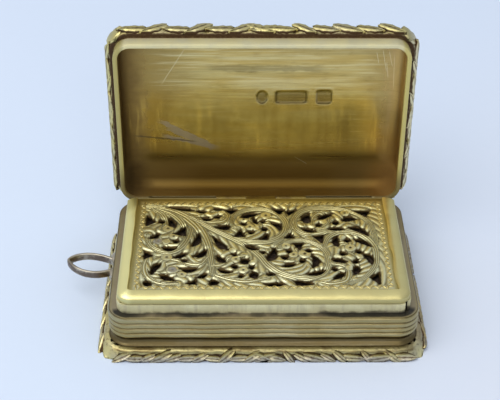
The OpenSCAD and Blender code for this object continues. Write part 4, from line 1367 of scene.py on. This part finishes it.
def stem_relief(flat, edge):
    """Height, phase of the engraved lines, their share, painted shade along the outlines, and the lobes
    beside the stems, at points.
    """
    height, flute, stem, outline_shade = np.zeros((4, len(flat)))
    lobe = edge / LOBE_PITCH
    nearest = np.full(len(flat), LOBE_REACH)
    for points, *widths, flutes in STEMS:
        line = smooth_line(points) + (PATTERN_X, 0.0)
        half = np.interp(np.linspace(0, 1, len(line)), (0.0, 0.4, 1.0), widths)
        run = np.gradient(line, axis=0)
        along = np.cumsum(np.linalg.norm(run, axis=1))
        run /= np.linalg.norm(run, axis=1)[:, None]
        near = ((flat > line.min(0) - LOBE_REACH) & (flat < line.max(0) + LOBE_REACH)).all(1)
        near = np.where(near)[0]
        for i in range(0, len(near), BATCH):
            rows = near[i:i + BATCH]
            gap = flat[rows][:, None, :] - line
            far = (gap ** 2).sum(2)
            pick = far.argmin(1)
            here = np.arange(len(rows))
            offset, far = gap[here, pick], np.sqrt(far[here, pick])
            share = (offset[:, 1] * run[pick, 0] - offset[:, 0] * run[pick, 1]) / half[pick]
            reach = far / half[pick]
            rise = np.where(reach < 1, 0.4 + 0.35 * np.sqrt(np.clip(1 - share ** 2, 0, 1)), 0.0)
            better = rise > height[rows]
            height[rows] = np.where(better, rise, height[rows])
            flute[rows] = np.where(better, share * flutes / 2, flute[rows])
            stem[rows] = np.where(better, 1.0, stem[rows])
            outline_shade[rows] = np.where(reach < 0.85, 0.0, np.maximum(outline_shade[rows], bell(reach, 1.05, 0.17)))
            beside = far - half[pick]
            closer = beside < nearest[rows]
            nearest[rows] = np.where(closer, beside, nearest[rows])
            lobe[rows] = np.where(closer, (along[pick] - LOBE_LEAN * beside) / LOBE_PITCH, lobe[rows])
    return height, flute, stem, outline_shade, lobe


def scroll_relief(flat, edge):
    """Height from 0 to 1, phase of the engraved lines, their share, and painted shade along the outlines, at
    points.
    """
    height, flute, stem, outline_shade, lobe = stem_relief(flat, edge)
    # Between the stems the sheet is leaves, whose lobes lean forward from the nearest stem
    leafy = height == 0
    wave = 0.5 + 0.5 * np.cos(2 * math.pi * lobe)
    height = np.where(leafy, 0.12 + 0.45 * wave ** 0.7, height)
    flute = np.where(leafy, lobe, flute)
    stem = np.where(leafy, 0.8, stem)
    # Painted shade in the valleys between the lobes
    outline_shade = np.where(leafy, np.maximum(outline_shade, 0.7 * (1 - wave) ** 4), outline_shade)
    for x, y, radius in BOSSES:
        far = np.hypot(flat[:, 0] - x - PATTERN_X, flat[:, 1] - y) / radius
        dome = 0.35 + 0.55 * np.sqrt(np.clip(1 - far ** 2, 0, 1)) - 0.45 * bell(far, 0.0, 0.4)
        height = np.where(far < 1, dome, height)
        stem = np.where(far < 1, 0.0, stem)
        middle = 1.7 * (radius > LARGE_BOSS) * bell(far, 0.0, 0.36)
        outline_shade = np.where(far < 0.85, middle, np.maximum(outline_shade, bell(far, 1.1, 0.18)))
    return height, flute, stem, outline_shade


def pierced_panel(s):
    """The pierced panel with its relief."""
    top, bottom = PANEL_HIGH[2], PANEL_LOW[2]

    def surfaces(flat, edge):
        height, flute, stem, outline_shade = scroll_relief(flat, edge)
        out = np.maximum(np.maximum(FIELD[0] - flat, flat - FIELD[1]).max(1), 0)
        inside = np.clip(1 - out / 0.3, 0, 1)
        pillow = 1 - (1 - np.clip(edge / 0.6, 0, 1)) ** 2
        lift = s["relief"] * (pillow * (0.95 + 0.55 * height) - 1.4)
        # Painted shade near the hole edges, on the low ground and along the outlines
        dark = np.clip(0.95 * (1 - pillow) ** 1.3 + 0.2 * (1 - height) + 0.45 * outline_shade, 0, 1)
        margin = np.clip((out - 0.5) / 0.5, 0, 1)
        values = {"hollow": inside * dark, "flute": flute, "stem": stem * inside, "margin": margin}
        return top - 0.03 + inside * lift, np.full(len(flat), bottom), values

    points, faces, values = relief_slab(solid_outlines("grille_panel"), PANEL_CELL, surfaces)
    mesh = mesh_of("pierced_panel", points, faces, finish(scroll_gilt), values, 60)
    add_piece("pierced_panel", mesh, "grille", "grille_gilt", "grille_panel")


def zigzag_edge(s):
    """The zigzag of short cuts round the chased field."""
    material = finish(bead_gilt)
    bead = add_object("bead_pattern", bead_shape(*BEAD_SIZE, material))
    low, high = FIELD[0] - BEAD_MARGIN, FIELD[1] + BEAD_MARGIN
    level = PANEL_HIGH[2] - BEAD_SUNK
    corners = ((low[0], low[1]), (high[0], low[1]), (high[0], high[1]), (low[0], high[1]))
    mesh = row_of("zigzag_edge", [(x, y, level) for x, y in corners], bead, material, closed=True,
                  Pitch=s["bead_pitch"], Zigzag=0.8, Jitter=0.05)
    bpy.data.objects.remove(bead)
    mesh.shade_smooth()
    add_piece("zigzag_edge", mesh, "grille", "grille_gilt")


def moulding_path(radius):
    """The path of the moulding on three sides, open at the grille's hinge."""
    low, high = FRAME_LOW, FRAME_HIGH
    places, normals = round_path(low[:2], (high[0], 2 * high[1] - low[1]), radius, 12, 0.6)
    places, normals = part_of_path(places, normals, places[:, 1] < high[1] - 1e-6)
    places = np.vstack([[(places[0][0], high[1])], places, [(places[-1][0], high[1])]])
    return places, np.vstack([normals[:1], normals, normals[-1:]])


def grille_moulding(s):
    """The rounded moulding on three sides of the grille, worn uneven."""
    low, high, panel = FRAME_LOW[2], FRAME_HIGH[2], PANEL_HIGH[2]
    # Height of its upright edge, width of its rounded top, and how far round the top goes
    edge, wide, full = 0.6, s["frame_width"], math.radians(65)
    rise, lip = high - low - edge, wide + 0.1
    # The third value of each point is how much painted shade it takes
    profile = [(-0.6, low, 1.0), (-0.05, low, 1.0), (0.0, low + 0.05, 0.9)]
    for t in np.linspace(0, full, 12):
        inwards = wide * (1 - math.cos(t)) / (1 - math.cos(full))
        profile.append((-inwards, low + edge + rise * math.sin(t) / math.sin(full), 0.5 * math.cos(t) ** 6))
    profile += [(-lip, high - 0.08, 0.3), (-lip, panel, 1.0), (-0.6, panel, 1.0)]

    def uneven(run, out, up):
        # The right bar is the last one of the path: a little wider and wavy inside, with a dent near its end
        back = run[-1] - run
        right = np.clip((19.0 - back) / 2.0, 0, 1)
        raised = np.clip((up - low - edge) / rise, 0, 1)
        wave = 0.02 + 0.02 * np.sin(0.9 * run) + 0.012 * np.sin(2.1 * run + 1) + 0.12 * bell(back, 3.6, 0.4)
        inner = np.clip((-out - wide + 0.2) / 0.4, 0, 1)
        ragged = 0.05 * np.sin(1.3 * run + 0.6 * np.sin(0.4 * run))
        ragged += right * (0.3 + 0.12 * np.sin(0.9 * back))
        return out - inner * ragged, up - raised * wave

    path = moulding_path(s["frame_corner"])
    mesh = swept("grille_moulding", path, profile, finish(frame_gilt), 40, closed=False, wobble=uneven)
    add_piece("grille_moulding", mesh, "grille", "grille_gilt", "grille_frame")


class VINAIGRETTE_OT_grille(bpy.types.Operator):
    """Pierced and chased grille with its zigzag edge and its moulding"""
    bl_idname = "vinaigrette.grille"
    bl_label = "Grille"

    def execute(self, context):
        s = sizes()
        pierced_panel(s)
        zigzag_edge(s)
        grille_moulding(s)
        return {"FINISHED"}


# Suspension loop

# Points along the loop, an odd number with the tip in the middle, and points round its ribbon
LOOP_STEPS, RIBBON_STEPS = 61, 20
# How far the loop's tip is bent back and up
TIP_BACK, TIP_UP = 0.65, 0.25
# Height of the domes on the wall, how much wider than high they are, and the share of the height of each ring
DOME_HEIGHT, DOME_WIDE = 0.6, 1.3
DOME_RINGS = (0.0, 0.5, 0.85, 1.0)


def loop_line(s, reach):
    """The middle line of the loop, as distance from the wall and y, from one end round to the other."""
    half = s["loop_half_width"] - 0.5 * s["ribbon"]
    tip = LOOP_STEPS // 2
    line = np.zeros((LOOP_STEPS, 2))
    for k, share in enumerate(np.cos(np.linspace(-math.pi / 2, math.pi / 2, LOOP_STEPS))):
        aside = half * (1 - share ** 3.2) ** 0.7 - s["loop_neck"] * (1 - share) ** 3
        line[k] = max(0.05, reach * share), math.copysign(aside, k - tip)
    line[tip, 1] = 0.0
    line[:, 1] += TIP_BACK * (line[:, 0] / reach) ** 2
    return line


def ribbon_ring(thick, wide):
    """Points across and up round the ribbon's section, a rectangle with round edges."""
    def squarer(value, power):
        return math.copysign(abs(value) ** power, value)

    turns = np.linspace(0, 2 * math.pi, RIBBON_STEPS, endpoint=False)
    return [(thick / 2 * squarer(math.cos(a), 0.6), wide / 2 * squarer(math.sin(a), 0.5)) for a in turns]


class VINAIGRETTE_OT_loop(bpy.types.Operator):
    """Ribbon loop on the left side, with its ends spread on the wall"""
    bl_idname = "vinaigrette.loop"
    bl_label = "Suspension loop"

    def execute(self, context):
        s = sizes()
        low, high = span(solid_points("suspension_loop"))
        root, middle, foot = WALL_LOW[0], 0.5 * (low[2] + high[2]), 0.5 * (high[2] - low[2])
        wide = s["ribbon_width"]
        reach = root - low[0] - 0.5 * s["ribbon"]
        line = loop_line(s, reach)
        run = np.gradient(line, axis=0)
        run /= np.linalg.norm(run, axis=1)[:, None]
        ring = ribbon_ring(s["ribbon"], wide)
        points, hollow = [], []
        for (d, y), (along_d, along_y) in zip(line, run):
            level = middle + TIP_UP * d / reach
            points += [(root - d + along_y * across, y + along_d * across, level + z) for across, z in ring]
            hollow += [1 - abs(2 * z / wide) ** 3 for _, z in ring]
        faces = outward(np.array(points), ring_faces(LOOP_STEPS, RIBBON_STEPS))
        # Low domes where the ends spread on the wall
        turns = np.linspace(0, 2 * math.pi, RIBBON_STEPS, endpoint=False)
        for y in (high[1] - foot, low[1] + foot):
            start = len(points)
            for rise in DOME_RINGS:
                far = foot * math.sqrt(1 - 0.96 * rise ** 2)
                points += [(root - DOME_HEIGHT * rise, y + DOME_WIDE * far * math.cos(a),
                            middle + far * math.sin(a)) for a in turns]
                # The domes take painted shade, deepest where they meet the wall
                hollow += [0.7 - 0.5 * rise] * RIBBON_STEPS
            faces += outward(np.array(points), ring_faces(len(DOME_RINGS), RIBBON_STEPS, start))
        points = np.clip(points, low, (root, high[1], high[2]))
        mesh = mesh_of("ribbon_loop", points, faces, finish(loop_silver), {"hollow": hollow}, 50)
        add_piece("ribbon_loop", mesh, "base", "silver", "suspension_loop")
        return {"FINISHED"}


# Sponge

PORES = 420
SPONGE_CELL = 0.25


class VINAIGRETTE_OT_sponge(bpy.types.Operator):
    """Dry porous sponge under the grille"""
    bl_idname = "vinaigrette.sponge"
    bl_label = "Sponge"

    def execute(self, context):
        low, high = span(solid_points("sponge"))
        pick = np.random.default_rng(11)
        # The draws are across, along and radius, in this order
        ranges = ((low[0], high[0]), (low[1], high[1]), (0.25, 0.7))
        pores = np.column_stack([pick.uniform(least, most, PORES) for least, most in ranges])

        def surfaces(flat, edge):
            level = np.full(len(flat), high[2] - 0.1)
            for x, y, radius in pores:
                far = np.hypot(flat[:, 0] - x, flat[:, 1] - y) / radius
                level -= np.where(far < 1, 0.5 * radius * (1 - far ** 2) ** 2, 0.0)
            level -= 0.9 * np.exp(-edge / 0.7)
            return np.maximum(level, low[2] + 1.0), np.full(len(flat), low[2]), {}

        points, faces, _ = relief_slab(solid_outlines("sponge"), SPONGE_CELL, surfaces)
        mesh = mesh_of("scent_sponge", points, faces, finish(sponge_brown), None, 80)
        piece = add_piece("scent_sponge", mesh, "base", "sponge", "sponge")
        return {"FINISHED"}


# Solids that are shown as they are, by finish

PLAIN_SOLIDS = {
    outer_gilt: ("base_plate",),
    knuckle_gilt: ("base_knuckles", "lid_knuckles", "grille_seat_knuckles", "grille_knuckle"),
    dull_wire: ("lid_hinge_pin", "grille_hinge_pin"),
    bezel_silver: ("bezel_front", "bezel_right", "bezel_back"),
}


class VINAIGRETTE_OT_plain_solids(bpy.types.Operator):
    """Finishes for the solids that are shown as they are"""
    bl_idname = "vinaigrette.plain_solids"
    bl_label = "Plain solids"

    def execute(self, context):
        for maker, nodes in PLAIN_SOLIDS.items():
            for node in nodes:
                NODES[node].data.materials.clear()
                NODES[node].data.materials.append(finish(maker))
        return {"FINISHED"}


# Stage

# Half the floor's width, in metres
FLOOR_REACH = 1.6
# Soft lamps: name, place and size in metres, watts; their tint, and the place that they shine on
LAMPS = (
    ("soft_top", (-0.22, -0.16, 0.48), 0.5, 1.9),
    ("soft_front", (0.10, -0.55, 0.30), 0.3, 0.5),
)
LAMP_TINT = (1.0, 0.98, 0.95)
LAMP_TARGET = Vector((0, 0, 0.008))
SKY_STRENGTH = 0.72
# The camera as worked out from the photograph: focal length and picture width in pixels, width of the sensor
# in millimetres, its place in millimetres, and its turns in degrees
FOCAL_PIXELS, PHOTO_PIXELS, SENSOR = 1191.86, 500.0, 36.0
CAMERA_PLACE = Vector((-3.491, -117.713, 102.207))
CAMERA_TURNS = {"pitch": 36.61, "yaw": 0.914, "roll": 0.474}


def add_floor():
    """The plain floor."""
    mesh = bpy.data.meshes.new("floor")
    corners = ((-1, -1), (1, -1), (1, 1), (-1, 1))
    mesh.from_pydata([(x * FLOOR_REACH, y * FLOOR_REACH, 0) for x, y in corners], [], [(0, 1, 2, 3)])
    mesh.materials.append(finish(floor_paper))
    add_object("floor", mesh)


def studio_sky():
    """A pale world, brighter to the left and above."""
    world = bpy.data.worlds.new("studio")
    world.use_nodes = True
    start = Wire(world.node_tree)
    way = start.node("ShaderNodeTexCoord", None, None, 0)
    across, height = (start.node("ShaderNodeSeparateXYZ", None, {0: way}, axis) for axis in (0, 2))
    low = across.band(0.5, -0.5).mix((0.54, 0.60, 0.69), (0.90, 0.94, 1.0))
    sky = height.band(-0.1, 0.9).mix(low, (0.86, 0.90, 0.96))
    back = world.node_tree.nodes["Background"]
    world.node_tree.links.new(sky.socket, back.inputs["Color"])
    back.inputs["Strength"].default_value = SKY_STRENGTH
    return world


def add_lamp(name, place, size, watts):
    """A square soft lamp that shines on the box."""
    lamp = bpy.data.lights.new(name, "AREA")
    lamp.size = size
    lamp.energy = watts
    lamp.color = LAMP_TINT
    made = add_object(name, lamp)
    made.location = place
    made.rotation_mode = "QUATERNION"
    made.rotation_quaternion = (LAMP_TARGET - Vector(place)).to_track_quat("-Z", "Y")


def add_camera():
    """The camera at the photograph's viewing angle."""
    camera = bpy.data.cameras.new("camera")
    camera.sensor_fit = "HORIZONTAL"
    camera.sensor_width = SENSOR
    camera.lens = FOCAL_PIXELS * SENSOR / PHOTO_PIXELS
    camera.clip_start, camera.clip_end = 0.01, 10.0
    pitch, yaw, roll = (math.radians(CAMERA_TURNS[key]) for key in ("pitch", "yaw", "roll"))
    ahead = Vector((math.sin(yaw) * math.cos(pitch), math.cos(yaw) * math.cos(pitch), -math.sin(pitch)))
    level = ahead.cross(Vector((0, 0, 1))).normalized()
    above = level.cross(ahead)
    right = math.cos(roll) * level + math.sin(roll) * above
    up = math.cos(roll) * above - math.sin(roll) * level
    made = add_object("camera", camera)
    turn = Matrix((right, up, -ahead)).transposed().to_4x4()
    made.matrix_world = Matrix.Translation(CAMERA_PLACE * MM) @ turn
    return made


class VINAIGRETTE_OT_stage(bpy.types.Operator):
    """Pale floor, soft lamps and the camera"""
    bl_idname = "vinaigrette.stage"
    bl_label = "Stage"

    def execute(self, context):
        add_floor()
        context.scene.world = studio_sky()
        for lamp in LAMPS:
            add_lamp(*lamp)
        context.scene.camera = add_camera()
        context.scene.view_settings.view_transform = "Standard"
        return {"FINISHED"}


class VINAIGRETTE_PT_panel(bpy.types.Panel):
    """Lists the sizes, the colours and the pieces"""
    bl_idname = "VINAIGRETTE_PT_panel"
    bl_label = "Vinaigrette"
    bl_space_type = "VIEW_3D"
    bl_region_type = "UI"
    bl_category = "Vinaigrette"

    def draw(self, context):
        for group in (context.scene.vinaigrette_sizes, context.scene.vinaigrette_colours):
            for key in group.__annotations__:
                self.layout.prop(group, key)
        for maker in MAKERS:
            self.layout.operator(maker.bl_idname)


MAKERS = (
    VINAIGRETTE_OT_foot_borders,
    VINAIGRETTE_OT_lid_borders,
    VINAIGRETTE_OT_wall,
    VINAIGRETTE_OT_lid,
    VINAIGRETTE_OT_grille,
    VINAIGRETTE_OT_loop,
    VINAIGRETTE_OT_sponge,
    VINAIGRETTE_OT_plain_solids,
    VINAIGRETTE_OT_stage,
)
CLASSES = (VinaigretteSizes, VinaigretteColours, *MAKERS, VINAIGRETTE_PT_panel)


def register():
    for kind in CLASSES:
        bpy.utils.register_class(kind)
    bpy.types.Scene.vinaigrette_sizes = bpy.props.PointerProperty(type=VinaigretteSizes)
    bpy.types.Scene.vinaigrette_colours = bpy.props.PointerProperty(type=VinaigretteColours)


def unregister():
    del bpy.types.Scene.vinaigrette_colours
    del bpy.types.Scene.vinaigrette_sizes
    for kind in reversed(CLASSES):
        bpy.utils.unregister_class(kind)


def main():
    """Registers the classes and builds everything in order."""
    register()
    for maker in MAKERS:
        group, name = maker.bl_idname.split(".")
        getattr(getattr(bpy.ops, group), name)()


if __name__ == "__main__":
    main()
